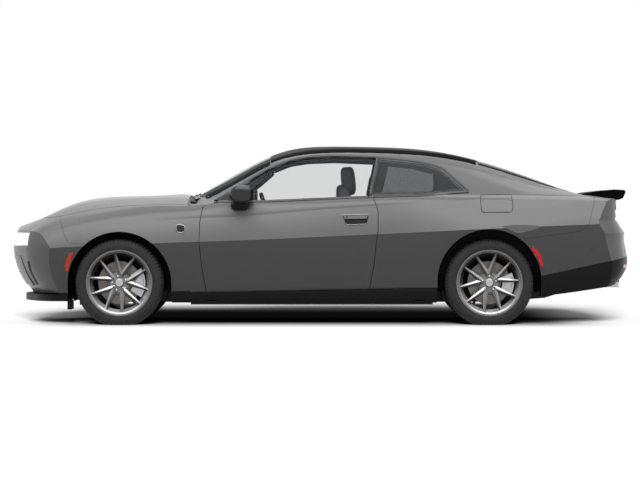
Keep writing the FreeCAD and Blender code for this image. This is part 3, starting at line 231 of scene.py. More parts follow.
def make_leather(name, dark, light):
    m, tree, shader = material(name, Roughness=0.5)
    cells = node(tree, "ShaderNodeTexVoronoi", [("Scale", 380.0), ("Vector", object_coords(tree))])
    colour = ramp(tree, noise(tree, 18.0, 3.0), [(0.3, dark), (0.8, light)])
    tree.links.new(colour, shader.inputs["Base Color"])
    bump(tree, shader, cells.outputs["Distance"], 0.25, 0.0008)
    spread(tree, shader, "Roughness", noise(tree, 30.0), 0.42, 0.6)
    return m


def make_fabric(name, dark, light, scale):
    """Carpet or headliner: short pile seen as fine noise."""
    m, tree, shader = material(name, Roughness=0.95, Sheen_Weight=0.3)
    pile = noise(tree, scale, 5.0)
    tree.links.new(ramp(tree, pile, [(0.3, dark), (0.75, light)]), shader.inputs["Base Color"])
    bump(tree, shader, pile, 0.5, 0.002)
    return m


def make_lens(name, dark, light, pitch):
    """A lamp lens with fine upright flutes inside, and a faint painted glow: it gives off a little of its brighter
    colour, lit or not.
    """
    # Painted glow: a weak emission in the lens's brighter colour.
    m, tree, shader = material(name, Roughness=0.15, Specular_IOR_Level=0.3, Emission_Color=light,
                               Emission_Strength=0.22)
    flutes = node(tree, "ShaderNodeTexWave", [("Scale", pitch), ("Vector", object_coords(tree))],
                  wave_type="BANDS", bands_direction="DIAGONAL")
    tree.links.new(ramp(tree, flutes.outputs["Fac"], [(0.2, dark), (0.9, light)]), shader.inputs["Base Color"])
    bump(tree, shader, flutes.outputs["Fac"], 0.2, 0.001)
    return m


# PAINT carries painted shade on every piece that uses it.
PAINT = make_paint()
GLOSS_BLACK = make_plain("gloss_black", (0.006, 0.006, 0.0065), 0.10, 0.18, 6.0)
SCREEN_BLACK = make_plain("screen_edge", (0.016, 0.021, 0.026), 0.40, 0.48, 6.0, Specular_IOR_Level=0.02)
ROOF_BLACK = make_plain("roof_gloss", (0.006, 0.006, 0.0065), 0.36, 0.44, 6.0, Specular_IOR_Level=0.02)
SATIN_BLACK = make_plain("satin_black", (0.010, 0.010, 0.0105), 0.42, 0.55, 14.0, 0.12, Specular_IOR_Level=0.14)
SEAM_BLACK = make_plain("seam_black", (0.006, 0.006, 0.006), 0.7, 0.9)
DASH_SKIN = make_plain("dash_skin", (0.022, 0.022, 0.024), 0.5, 0.62, 20.0, 0.35, 700.0)
CLEAR_GLASS = make_glass("door_glass", (0.05, 0.07, 0.09), 0.10)
TINTED_GLASS = make_glass("tinted_glass", (0.012, 0.016, 0.022), 0.46, 0.3, 0.28, 0.32)
SCREEN_GLASS = make_glass("screen_tint", (0.018, 0.024, 0.030), 0.88, 0.04)
CLEAR = make_glass("clear_lens", (0.6, 0.62, 0.64), 0.18)
RUBBER = make_tyre()
# RIM_METAL carries that painted shade on the rims, their lips, the handle frames and the badge rims.
RIM_METAL = make_rim()
RIM_DARK = make_metal("rim_inside", (0.16, 0.16, 0.165), 0.4, 0.7)
IRON = make_turned()
CAST = make_metal("cast_dark", (0.055, 0.055, 0.056), 0.55, 0.6, 0.5)
ALLOY = make_metal("cast_alloy", (0.34, 0.34, 0.35), 0.42, 0.9, 0.4)
CALIPER = make_metal("caliper_silver", (0.50, 0.51, 0.52), 0.35, 0.8)
STEEL = make_metal("exhaust_steel", (0.50, 0.49, 0.47), 0.28)
CHROME = make_metal("chrome", (0.78, 0.79, 0.80), 0.08)
MIRROR = make_metal("mirror_silver", (0.85, 0.87, 0.88), 0.02, spread_by=0.02)
UNDERBODY = make_metal("underbody_coat", (0.03, 0.03, 0.031), 0.6, 0.2, 0.4)
LEATHER = make_leather("leather_black", (0.016, 0.016, 0.018), (0.026, 0.026, 0.028))
CARPET = make_fabric("carpet", (0.012, 0.012, 0.013), (0.03, 0.03, 0.032), 500.0)
HEADLINER = make_fabric("headliner", (0.10, 0.10, 0.105), (0.15, 0.15, 0.155), 700.0)
SCREEN = make_plain("screen_glass", (0.004, 0.005, 0.007), 0.03, 0.06, 5.0, Coat_Weight=1.0)
TANK_WHITE = make_plain("tank_white", (0.62, 0.63, 0.64), 0.3, 0.4, 8.0)
RED_LENS = make_lens("red_lens", (0.60, 0.004, 0.004), (0.85, 0.012, 0.010), 60.0)
RED_LIGHT = make_plain("red_light", (0.62, 0.02, 0.02), 0.1, 0.16, Coat_Weight=1.0)
MARKER_LENS = make_lens("marker_lens", (0.60, 0.015, 0.004), (0.85, 0.04, 0.008), 60.0)
LED = make_plain("led_white", (0.80, 0.82, 0.84), 0.12, 0.2, Coat_Weight=1.0)

FINISH = {
    "paint": PAINT, "roof_black": ROOF_BLACK, "glass": TINTED_GLASS, "black_plastic": SATIN_BLACK,
    "lamp_clear": CLEAR, "lamp_red": RED_LENS, "marker": MARKER_LENS, "structure": UNDERBODY,
    "chassis_steel": CAST, "engine_iron": ALLOY, "exhaust_steel": STEEL, "seat_leather": LEATHER,
    "dash_plastic": DASH_SKIN, "tyre": RUBBER, "rim_metal": RIM_METAL, "disc_iron": IRON, "caliper": CALIPER,
}

GLASS_OF = {"door_glass_left": CLEAR_GLASS, "door_glass_right": CLEAR_GLASS, "windscreen": SCREEN_GLASS,
            "rear_glass": SCREEN_GLASS}


def finish_nodes():
    slots = {p["node"]: p["material_slot"] for p in frame["record"]["subparts"]}
    for name, obj in NODES.items():
        finish = GLASS_OF.get(name, FINISH[slots[name]])
        obj.data.materials.clear()
        obj.data.materials.append(finish)


finish_nodes()

# ---------------------------------------------------------------- building pieces


def add_piece(name, verts, faces, finish, body, smooth=True, replaces=(), place=None, side=1):
    """A mesh piece from points in millimetres; side -1 mirrors it to the car's right."""
    if side < 0:
        verts = [(x, -y, z) for x, y, z in verts]
        faces = [tuple(reversed(f)) for f in faces]
    mesh = bpy.data.meshes.new(name)
    mesh.from_pydata([Vector(v) * MM for v in verts], [], faces)
    mesh.update()
    mesh.polygons.foreach_set("use_smooth", [smooth] * len(mesh.polygons))
    obj = bpy.data.objects.new(name, mesh)
    bpy.context.collection.objects.link(obj)
    if place is not None:
        obj.location = Vector((place[0], place[1] * side, place[2])) * MM
    mesh.materials.append(finish)
    bpy.context.view_layer.update()
    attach(obj, body)
    if replaces:
        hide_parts(*replaces)
    return obj


def auto_smooth(obj, degrees=30):
    """Keeps edges sharper than this angle crisp."""
    obj.data.set_sharp_from_angle(angle=math.radians(degrees))
    return obj


def bevel(obj, width, segments=2):
    """Rounds the edges of a hard piece."""
    mod = obj.modifiers.new("edges", "BEVEL")
    mod.width = width * MM
    mod.segments = segments
    mod.limit_method = "ANGLE"
    mod.angle_limit = math.radians(35)
    mod.harden_normals = True
    return obj


def curve_points(points, step, closed=False):
    """A smooth curve through the points, sampled about every step."""
    pts = [Vector(p) for p in points]
    count = len(pts)
    out = []
    for i in range(count if closed else count - 1):
        p0 = pts[i - 1] if closed or i > 0 else pts[0] * 2 - pts[1]
        p1, p2 = pts[i], pts[(i + 1) % count]
        p3 = pts[(i + 2) % count] if closed or i + 2 < count else p2 * 2 - p1
        n = max(1, round((p2 - p1).length / step))
        for k in range(n):
            t = k / n
            out.append(0.5 * ((2 * p1) + (p2 - p0) * t + (2 * p0 - 5 * p1 + 4 * p2 - p3) * t * t
                              + (3 * p1 - p0 - 3 * p2 + p3) * t * t * t))
    if not closed:
        out.append(pts[-1])
    return out


def straight_points(points, step, closed=False):
    """The same, with straight runs and true corners."""
    pts = [Vector(p) for p in points]
    out = []
    for i in range(len(pts) if closed else len(pts) - 1):
        a, b = pts[i], pts[(i + 1) % len(pts)]
        n = max(1, round((b - a).length / step))
        out += [a.lerp(b, k / n) for k in range(n)]
    if not closed:
        out.append(pts[-1])
    return out


def rounded_loop(points, radius, step=6):
    """A closed outline with its corners rounded."""
    pts = [Vector(p) for p in points]
    out = []
    for i, p in enumerate(pts):
        a, b = pts[i - 1] - p, pts[(i + 1) % len(pts)] - p
        r = min(radius, a.length / 2.2, b.length / 2.2)
        start, end = p + a.normalized() * r, p + b.normalized() * r
        for k in range(step + 1):
            t = k / step
            out.append(start.lerp(p, t).lerp(p.lerp(end, t), t))
    return out


def circle(count):
    """Cosine and sine of evenly spaced angles, once round."""
    return [(math.cos(2 * math.pi * k / count), math.sin(2 * math.pi * k / count)) for k in range(count)]


def sheet_between(rows, closed_across=False, closed_along=False):
    """Quads over rows of points of equal length."""
    width = len(rows[0])
    faces = []
    for i in range(len(rows) if closed_along else len(rows) - 1):
        j = (i + 1) % len(rows)
        for k in range(width if closed_across else width - 1):
            m = (k + 1) % width
            faces.append((i * width + k, i * width + m, j * width + m, j * width + k))
    return [p for row in rows for p in row], faces


def sheet_piece(name, rows, finish, body, across=False, along=False, caps=False, **more):
    """A piece of quads over the rows, closed across or along them, with its first and last row filled by caps."""
    verts, faces = sheet_between(rows, across, along)
    if caps:
        width, last = len(rows[0]), len(verts) - len(rows[0])
        faces += [tuple(range(width - 1, -1, -1)), tuple(range(last, last + width))]
    return add_piece(name, verts, faces, finish, body, **more)


def sweep_rows(path, section, closed=False, up=Vector((0, 0, 1))):
    """Rows of a section (across, out) carried along a 3-D path; across is at right angles to up."""
    rows = []
    n = len(path)
    for i, p in enumerate(path):
        before = path[i - 1] if closed or i else p
        after = path[(i + 1) % n] if closed or i < n - 1 else p
        tangent = (after - before).normalized()
        side = tangent.cross(up)
        side = side.normalized() if side.length > 1e-6 else Vector((0, 1, 0))
        out = side.cross(tangent)
        rows.append([p + side * u + out * v for u, v in section])
    return rows


def tube(name, points, radius, finish, body, sides=10, closed=False, smooth=True, side=1, step=12, up=(0, 0, 1)):
    """A round bar along a curve through the points."""
    path = curve_points(points, step, closed) if smooth else [Vector(p) for p in points]
    ring = [(radius * c, radius * s) for c, s in circle(sides)]
    rows = sweep_rows(path, ring, closed, Vector(up))
    return sheet_piece(name, rows, finish, body, True, closed, not closed, side=side)


def lathe(name, profile, finish, body, place, segments=96, side=1, closed=True):
    """A ring about a Y axle from (radius, along) points."""
    rows = [[(r * s, y, r * c) for r, y in profile] for c, s in circle(segments)]
    return auto_smooth(sheet_piece(name, rows, finish, body, closed, True, place=place, side=side))


def block(name, low, high, finish, body, radius=4.0, side=1, turn=None, taper=None):
    """A bar with rounded edges between two corners; turn is (axis, degrees) about its middle."""
    low, high = Vector(low), Vector(high)
    middle, half = (low + high) / 2, (high - low) / 2
    corners = [(sx, sy, sz) for sx in (-1, 1) for sy in (-1, 1) for sz in (-1, 1)]
    verts = []
    for sx, sy, sz in corners:
        v = Vector((sx * half.x, sy * half.y, sz * half.z))
        if taper and sz > 0:
            v.x *= taper[0]
            v.y *= taper[1]
        if turn:
            v = Matrix.Rotation(math.radians(turn[1]), 3, turn[0]) @ v
        verts.append(middle + v)
    faces = [(0, 1, 3, 2), (4, 6, 7, 5), (0, 4, 5, 1), (2, 3, 7, 6), (0, 2, 6, 4), (1, 5, 7, 3)]
    obj = add_piece(name, verts, faces, finish, body, side=side)
    return bevel(obj, min(radius, half.x * 0.8, half.y * 0.8, half.z * 0.8), 3)


# ---------------------------------------------------------------- pieces that lie on the body's skin


def skin(*names):
    """A search tree over the faces of these CAD nodes."""
    verts, faces = [], []
    for name in names:
        mesh = NODES[name].data
        start = len(verts)
        verts += [v.co.copy() for v in mesh.vertices]
        faces += [[start + i for i in p.vertices] for p in mesh.polygons]
    return BVHTree.FromPolygons(verts, faces)


def hit(tree, start, way):
    """Where a ray from start meets the skin, and the skin's outward normal, in millimetres."""
    point, normal, _, _ = tree.ray_cast(Vector(start) * MM, Vector(way))
    if point is None:
        return None, None
    if normal.dot(Vector(way)) > 0:
        normal = -normal
    return point / MM, normal


LEFT_SKIN = skin("body_side_left", "door_left", "fender_left", "front_bumper", "rear_bumper", "door_glass_left",
                 "quarter_glass", "roof_panel", "rear_diffuser", "side_sills", "hood", "tailgate", "windscreen",
                 "side_markers")
TOP_SKIN = skin("hood", "cowl", "windscreen", "roof_panel", "rear_glass", "tailgate", "spoiler", "body_side_left",
                "body_side_right", "fender_left", "fender_right", "front_bumper", "rear_bumper")
NOSE_SKIN = skin("front_bumper", "grille", "headlamps", "front_splitter", "hood")
TAIL_SKIN = skin("rear_bumper", "tail_lamp", "tailgate", "rear_diffuser", "spoiler")


def on_side(u, v):
    return hit(LEFT_SKIN, (u, 2000, v), (0, -1, 0))


def on_top(u, v):
    return hit(TOP_SKIN, (u, v, 3000), (0, 0, -1))


def on_nose(u, v):
    return hit(NOSE_SKIN, (4000, u, v), (-1, 0, 0))


def on_tail(u, v):
    return hit(TAIL_SKIN, (-4000, u, v), (1, 0, 0))


def draped(where, u, v, out):
    """A point out from the skin at (u, v); beyond the skin's edge, its nearest point below or above."""
    point, normal = where(u, v)
    reach = 0
    while point is None and reach < 120:
        reach += 4
        for side_step in (-reach, reach):
            if point is None:
                point, normal = where(u, v + side_step)
    if point is None:
        point, normal = Vector((u, 0, v)), Vector((0, 0, 1))
    return point + normal * out


def ribbon(name, points, half, height, finish, body, where=on_side, closed=False, smooth=False, step=14, side=1,
           radius=0):
    """A raised moulding of that half width and height along a line drawn on the skin."""
    flat = [(u, v, 0) for u, v in points]
    if radius:
        flat = rounded_loop(flat, radius)
    path = (curve_points if smooth else straight_points)(flat, step, closed)
    section = [(-1.0, -0.6), (-0.94, 0.5), (-0.72, 0.92), (0, 1.0), (0.72, 0.92), (0.94, 0.5), (1.0, -0.6)]
    rows = []
    for i, p in enumerate(path):
        before = path[i - 1] if closed or i else p
        after = path[(i + 1) % len(path)] if closed or i < len(path) - 1 else p
        along = (after - before).normalized()
        across = Vector((along.y, -along.x, 0))
        row = []
        for k, out in section:
            q = p + across * half * k
            row.append(draped(where, q.x, q.y, out * height))
        rows.append(row)
    if where in (on_side, on_nose):
        rows = [list(reversed(row)) for row in rows]
    return sheet_piece(name, rows, finish, body, False, closed, side=side)


def patch(name, outline, out, finish, body, where=on_side, side=1, radius=0, rim=1.0, cells=10):
    """A thin plate over an outline drawn on the skin, proud by out, with a turned-down edge."""
    flat = [Vector((u, v, 0)) for u, v in outline]
    if radius:
        flat = rounded_loop(flat, radius)
    middle = sum(flat, Vector((0, 0, 0))) / len(flat)
    rows = []
    scales = [1.0, 1.0, 1 - rim / 100] + [1 - (k + 1) / cells for k in range(cells - 1)]
    heights = [-0.6, 0.75, 1.0] + [1.0] * (cells - 1)
    for scale, rise in zip(scales, heights):
        row = []
        for p in flat:
            q = middle + (p - middle) * scale
            row.append(draped(where, q.x, q.y, rise * out))
        rows.append(row)
    verts, faces = sheet_between(rows, True, False)
    verts.append(draped(where, middle.x, middle.y, out))
    centre, start, count = len(verts) - 1, (len(rows) - 1) * len(flat), len(flat)
    faces += [(start + k, start + (k + 1) % count, centre) for k in range(count)]
    obj = add_piece(name, verts, faces, finish, body, side=side)
    mesh = obj.data
    bm = bmesh.new()
    bm.from_mesh(mesh)
    bmesh.ops.recalc_face_normals(bm, faces=bm.faces)
    bm.to_mesh(mesh)
    bm.free()
    return auto_smooth(obj, 40)


def both_sides(*builders):
    """Runs each builder for the left side and then for the right."""
    for build in builders:
        for side_name, side in SIDES.items():
            build(side_name, side)

# ---------------------------------------------------------------- wheels

TREAD_HALF = 112.0
GROOVES = (22.0, 64.0)  # middles of the long grooves, to each side
LUGS = 72


def tyre_half_profile():
    """The outer half of the tyre's outline from the tread's middle to the bead, as (radius, along, lug depth)."""
    crown = [(TYRE_R, 0, 0)]
    for middle in GROOVES:
        for offset, drop in ((-6, 0), (-4, 7.5), (4, 7.5), (6, 0)):
            crown.append((TYRE_R - drop - 1.2 * (middle / TREAD_HALF) ** 2, middle + offset, 0))
    crown.insert(5, (TYRE_R - 0.5, 32, 0))
    crown.insert(6, (TYRE_R - 0.5, 34, 5))
    crown.insert(7, (TYRE_R - 0.8, 50, 5))
    crown.insert(8, (TYRE_R - 0.9, 52, 0))
    crown += [(TYRE_R - 2.2, 74, 0), (TYRE_R - 2.4, 76, 6), (TYRE_R - 4.0, 104, 6), (TYRE_R - 7.5, 118, 6),
              (TYRE_R - 13, 128, 5), (TYRE_R - 20, 135, 3.5), (TYRE_R - 25, 138.5, 0)]
    wall = [(TYRE_R - 30, 141, 0), (TYRE_R - 33, 140.2, 0), (TYRE_R - 42, 144.5, 0), (TYRE_R - 52, 146.5, 0),
            (TYRE_R - 62, 146.6, 0), (TYRE_R - 64, 145.4, 0), (TYRE_R - 67, 145.2, 0), (TYRE_R - 69, 146.0, 0),
            (RIM_R + 14, 143.0, 0), (RIM_R + 10, 143.8, 0), (RIM_R + 5, 141.0, 0), (RIM_R + 1, 134.0, 0),
            (RIM_R - 4, 130.0, 0), (RIM_R - 8, 128.0, 0)]
    limit = TYRE_HALF - 0.5
    return [(r, min(y, limit), d) for r, y, d in crown + wall]


def make_tyre_piece(end, side_name):
    half = tyre_half_profile()
    profile = [(r, -y, d) for r, y, d in reversed(half)] + half[1:]
    pitch = 2 * math.pi / LUGS
    steps = ((0.0, 0), (0.055, 1), (0.15, 1), (0.205, 0))
    rows = []
    for lug in range(LUGS):
        for part, cut in steps:
            row = []
            for r, y, depth in profile:
                shift = 0.5 * pitch if y < 0 else 0.0
                slant = 0.012 * (abs(y) - 90) / 40 if depth else 0.0
                a = lug * pitch + part * pitch * 2.2 + shift + slant
                radius = r - depth * cut
                row.append((radius * math.sin(a), y, radius * math.cos(a)))
            rows.append(row)
    tyre = f"tyre_{end}_{side_name}"
    obj = sheet_piece(f"{tyre}_look", rows, RUBBER, f"wheel_{end}_{side_name}", along=True, replaces=(tyre,),
                      place=hub_of(f"tyre_{end}_left"), side=SIDES[side_name])
    auto_smooth(obj, 28)


def ring_of(name, count, radius, build, finish, body, hub, side, turn=0.0):
    """One mesh of the same small solid repeated round the hub; build gives (points, faces) about +Z at radius."""
    verts, faces = [], []
    for i in range(count):
        a = math.radians(turn) + 2 * math.pi * i / count
        pts, polys = build(i)
        start = len(verts)
        for x, y, z in pts:
            z = z + radius
            verts.append((x * math.cos(a) + z * math.sin(a), y, -x * math.sin(a) + z * math.cos(a)))
        faces += [tuple(start + k for k in poly) for poly in polys]
    return auto_smooth(add_piece(name, verts, faces, finish, body, place=hub, side=side))


def prism(profile, sides, turn=0.0):
    """A closed round or faceted solid about Y from (radius, along) points, ends capped."""
    pts, polys = [], []
    for r, y in profile:
        for k in range(sides):
            a = 2 * math.pi * k / sides + turn
            pts.append((r * math.sin(a), y, r * math.cos(a)))
    for i in range(len(profile) - 1):
        for k in range(sides):
            m = (k + 1) % sides
            polys.append((i * sides + k, i * sides + m, (i + 1) * sides + m, (i + 1) * sides + k))
    polys.append(tuple(range(sides - 1, -1, -1)))
    polys.append(tuple(range((len(profile) - 1) * sides, len(profile) * sides)))
    return pts, polys


WHEEL_TURN = {"front": 11.5, "rear": -6.2}  # how far the spokes are turned
LUG_CIRCLE = 60.0
HUB_FACE = 92.0
DISC_R = 180.0


OPEN_RINGS = [  # name, (radius, along) points, finish, segments
    ("cap", [(0.01, HUB_FACE + 12.2), (15, HUB_FACE + 14.2), (23, HUB_FACE + 14), (26.5, HUB_FACE + 13),
             (29, HUB_FACE + 12.2), (29.5, HUB_FACE + 9)], CALIPER, 48),
    ("cap_ring", [(24.5, HUB_FACE + 13.2), (25.5, HUB_FACE + 15.0), (27.5, HUB_FACE + 15.0),
                  (28.5, HUB_FACE + 12.5)], CHROME, 48),
    ("rim_lip", [(RIM_R - 7, RIM_OUT - 0.6), (RIM_R - 6, RIM_OUT + 0.8), (RIM_R - 1.5, RIM_OUT + 0.8),
                 (RIM_R + 0.2, RIM_OUT - 1.4), (RIM_R + 0.2, RIM_OUT - 6)], RIM_METAL, 128),
    ("barrel_inside", [(220.5, 42), (220.5, 8), (222, -60), (232, -120)], RIM_DARK, 96),
]


def dress_wheel(end, side_name):
    """Nuts, cap, bright lip, valve and brake disc over the CAD rim, and the treaded tyre."""
    side = SIDES[side_name]
    body = f"wheel_{end}_{side_name}"
    tag = f"{end}_{side_name}"
    hub = hub_of(f"tyre_{end}_left")
    turn = -WHEEL_TURN[end]
    make_tyre_piece(end, side_name)
    nut = prism([(12.5, HUB_FACE - 20), (12.5, HUB_FACE - 14), (9.2, HUB_FACE - 13), (9.2, HUB_FACE - 1),
                 (7.2, HUB_FACE + 1)], 6)
    ring_of(f"nuts_{tag}", 5, LUG_CIRCLE, lambda i: nut, CHROME, body, hub, side, -turn)
    seat = prism([(13.7, HUB_FACE - 21.5), (13.7, HUB_FACE - 20.2)], 20)
    ring_of(f"nut_seats_{tag}", 5, LUG_CIRCLE, lambda i: seat, RIM_DARK, body, hub, side, -turn)
    for name, profile, finish, segments in OPEN_RINGS:
        lathe(f"{name}_{tag}", profile, finish, body, hub, segments, side, closed=False)
    stem = prism([(4.6, 0), (4.6, 6), (3.4, 8), (3.4, 26), (4.0, 27), (4.0, 34), (3.2, 35)], 12)
    ring_of(f"valve_{tag}", 1, 236, lambda i: stem, RUBBER, body, hub + Vector((0, 58, 0)), side, 36 - turn)
    plate = [(104, 8.2), (DISC_R - 1.5, 7.6), (DISC_R + 0.3, 9.5), (DISC_R + 0.3, 18.5), (DISC_R - 3, 20),
             (DISC_R - 3, 28), (DISC_R + 0.3, 29.5), (DISC_R + 0.3, 38.8), (DISC_R - 1.5, 40.4), (108, 40.4),
             (104, 42), (98, 58), (90, 62), (50, 62), (50, 20), (104, 20)]
    disc = lathe(f"disc_face_{tag}", plate, IRON, body, hub, 120, side)
    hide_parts(f"disc_{tag}")
    # The drilled holes are black discs on the disc's face: painted shade where holes would be.
    spots = []
    for arm in range(16):
        for k in range(4):
            a = 2 * math.pi * (arm + 0.18 * k) / 16
            spots.append((118 + 15.5 * k, a))

    def drill(i):
        r, a = spots[i]
        pts, polys = prism([(3.4, 40.2), (3.4, 40.75)], 10)
        x0, z0 = r * math.sin(a), r * math.cos(a)
        b = -2 * math.pi * i / len(spots)
        x1, z1 = x0 * math.cos(b) + z0 * math.sin(b), -x0 * math.sin(b) + z0 * math.cos(b)
        return [(x + x1, y, z + z1) for x, y, z in pts], polys

    ring_of(f"disc_hole_shade_{tag}", len(spots), 0, drill, SEAM_BLACK, body, hub, side)


CALIPER_SHAPE = {"front": (34, 112, 212), "rear": (24, 116, 203)}  # half angle, inner and outer radius


def dress_caliper(end, side_name):
    """Bridge and bolts over the CAD caliper's faces."""
    side = SIDES[side_name]
    body = f"knuckle_{side_name}" if end == "front" else "body"
    tag = f"{end}_{side_name}"
    hub = hub_of(f"tyre_{end}_left")
    half, r0, r1 = CALIPER_SHAPE[end]
    rows = []
    count = 18
    for i in range(count + 1):
        a = math.radians(270 + half * 0.86 * (2 * i / count - 1))
        swell = 1 - abs(2 * i / count - 1) ** 3
        lo, hi = r0 + 16 - 8 * swell, r1 - 10
        row = [(lo, 69), (lo + 4, 70.5 + 4 * swell), (hi - 8, 70.5 + 5 * swell), (hi, 69)]
        rows.append([(r * math.sin(a), y, r * math.cos(a)) for r, y in row])
    sheet_piece(f"caliper_face_{tag}", rows, CALIPER, body, place=hub, side=side)
    bolt = prism([(8.5, 68), (8.5, 75), (7, 76)], 6)
    for k, lean in enumerate((-0.55, 0.0, 0.55)):
        ring_of(f"caliper_bolt_{tag}_{k}", 1, (r0 + r1) / 2, lambda i: bolt, STEEL, body, hub, side, 270 + half * lean)


for end_name in ("front", "rear"):
    for side_key in SIDES:
        dress_wheel(end_name, side_key)
        dress_caliper(end_name, side_key)

# ---------------------------------------------------------------- the body's sides

GLASS_FOOT = [(883, 1029), (436, 1029), (-345, 1063), (-885, 1079), (-1240, 1106)]
GLASS_TOP = [(873, 1034), (617, 1187), (436, 1296), (255, 1370), (96, 1400), (-131, 1411), (-472, 1397),
             (-812, 1362), (-1003, 1313), (-1094, 1243), (-1240, 1112)]
DOOR_END = -439  # where the door's shut line meets the window
DOOR_END_Z = 1063 + (1079 - 1063) * (-345 - DOOR_END) / (-345 + 885)  # height of the window's foot there


def side_glass_trim(side_name, side):
    """Black mouldings round the side windows: the top, the foot on the door and behind it, and the bar between."""
    door, tag = f"door_{side_name}", side_name
    ribbon(f"window_top_{tag}", GLASS_TOP, 9, 5, GLOSS_BLACK, "body", smooth=True, side=side)
    on_door = [p for p in GLASS_FOOT if p[0] > DOOR_END]
    ribbon(f"window_foot_door_{tag}", on_door + [(DOOR_END + 4, DOOR_END_Z)], 10, 5, GLOSS_BLACK, door, side=side)
    rear = [(DOOR_END - 4, DOOR_END_Z)] + [p for p in GLASS_FOOT if p[0] < DOOR_END]
    ribbon(f"window_foot_rear_{tag}", rear, 9, 5, GLOSS_BLACK, "body", side=side)
    ribbon(f"window_bar_{tag}", [(-481, 1388), (-418, 1086)], 12, 3, GLOSS_BLACK, "body", side=side)


HANDLE = [(-183, 914), (-408, 919), (-392, 838), (-214, 832)]


def door_handle(side_name, side):
    """A flush handle: a black patch painted as the shade in its pocket, bright frame, painted blade and a small
    button.
    """
    door, tag = f"door_{side_name}", side_name
    # Painted shade: the pocket is a black patch on the door skin, not a recess.
    patch(f"handle_shade_patch_{tag}", HANDLE, 0.8, SEAM_BLACK, door, side=side, radius=26)
    ribbon(f"handle_frame_{tag}", HANDLE, 2.6, 4.0, RIM_METAL, door, closed=True, side=side, radius=26, step=8)
    blade = [(-196, 908), (-396, 912), (-391, 884), (-201, 880)]
    patch(f"handle_blade_{tag}", blade, 9.0, PAINT, door, side=side, radius=10)
    patch(f"handle_button_{tag}", [(-214, 901), (-232, 901), (-232, 890), (-214, 890)], 10.0, GLOSS_BLACK, door,
          side=side, radius=5)


FUEL_DOOR = [(-1331, 1080), (-1588, 1088), (-1602, 1010), (-1598, 936), (-1340, 934)]


def fuel_door():
    ribbon("fuel_gap", FUEL_DOOR, 2.6, 0.5, SEAM_BLACK, "body", closed=True, radius=30, step=8)
    inner = [(-1336, 1075), (-1584, 1083), (-1597, 1009), (-1593, 941), (-1345, 939)]
    patch("fuel_flap", inner, 1.2, PAINT, "body", radius=28)


def fender_badge(side_name, side):
    """A bare dark plate with a thin bright rim; it carries no mark."""
    plate = [(1122, 826), (1196, 838), (1188, 764), (1126, 770)]
    patch(f"fender_plate_{side_name}", plate, 2.0, GLOSS_BLACK, "body", side=side, radius=30)
    ribbon(f"fender_rim_{side_name}", plate, 3.5, 3.2, RIM_METAL, "body", closed=True, side=side, radius=30, step=6)


def jack_covers(side_name, side):
    for k, x in enumerate((900, -830)):
        block(f"jack_cover_{side_name}_{k}", (x - 42, 838, 178), (x + 42, 928, 196), SATIN_BLACK, "body", 5, side)


# Sections of the mirror housing from its inner end outwards: y, then front, back, foot and top.
MIRROR_SECTIONS = [(880, 704, 606, 1042, 1078), (900, 728, 584, 1024, 1112), (930, 748, 566, 1014, 1142),
                   (985, 757, 561, 1008, 1158), (1040, 750, 561, 1012, 1162), (1080, 724, 563, 1026, 1152),
                   (1098, 682, 572, 1050, 1130)]
# Sections of its foot: y, then front, back, foot and top.
FOOT_SECTIONS = [(866, 742, 590, 952, 1042), (905, 744, 592, 949, 1036), (950, 736, 600, 952, 1030),
                 (988, 716, 618, 966, 1024), (1008, 690, 640, 988, 1018)]


def housing(name, sections, finish, body, side, replaces=()):
    """A smooth closed form through rounded sections that stand across Y."""
    rows = []
    for y, front, back, foot, top in sections:
        middle, half = Vector(((front + back) / 2, y, (foot + top) / 2)), Vector((front - back, 0, top - foot)) / 2
        row = []
        for k in range(40):
            turn = 2 * math.pi * k / 40
            c, s = math.cos(turn), math.sin(turn)
            power = 0.62 if c < 0 else 0.86
            row.append(middle + Vector((math.copysign(abs(c) ** power, c) * half.x, 0,
                                        math.copysign(abs(s) ** power, s) * half.z)))
        rows.append(row)
    return auto_smooth(sheet_piece(name, rows, finish, body, True, caps=True, side=side, replaces=replaces), 50)


def mirror_parts(side_name, side):
    """A rounded housing with its glass facing back, on a bowl-shaped foot that grows out of the door."""
    door = f"door_{side_name}"
    housing(f"mirror_shell_{side_name}", MIRROR_SECTIONS, GLOSS_BLACK, door, side, (f"mirror_{side_name}",))
    housing(f"mirror_foot_{side_name}", FOOT_SECTIONS, SATIN_BLACK, door, side)
    outline = rounded_loop([Vector((0, 912, 1030)), Vector((0, 1080, 1032)), Vector((0, 1074, 1138)),
                            Vector((0, 930, 1132))], 30)
    centre = Vector((0, 1000, 1084))
    rings = []
    for shrink, x in ((1.0, 566), (1.0, 557), (0.97, 555.5), (0.93, 558)):
        rings.append([Vector((x, 0, 0)) + centre + (p - centre) * shrink for p in outline])
    sheet_piece(f"mirror_bezel_{side_name}", rings, SATIN_BLACK, door, True, side=side)
    face = rings[-1]
    add_piece(f"mirror_glass_{side_name}", face + [Vector((558, 0, 0)) + centre],
              [(k, (k + 1) % len(face), len(face)) for k in range(len(face))], MIRROR, door, side=side)
    tube(f"mirror_blinker_{side_name}", [(742, 960, 1072), (748, 1020, 1078), (728, 1070, 1080)], 4, MARKER_LENS,
         door, 8, side=side)


SCREEN_FOOT_LINE = [(883, 1030), (1060, 1066)]  # where the pillar's foot ends, as (x, z)
FENDER_TOP = 1000


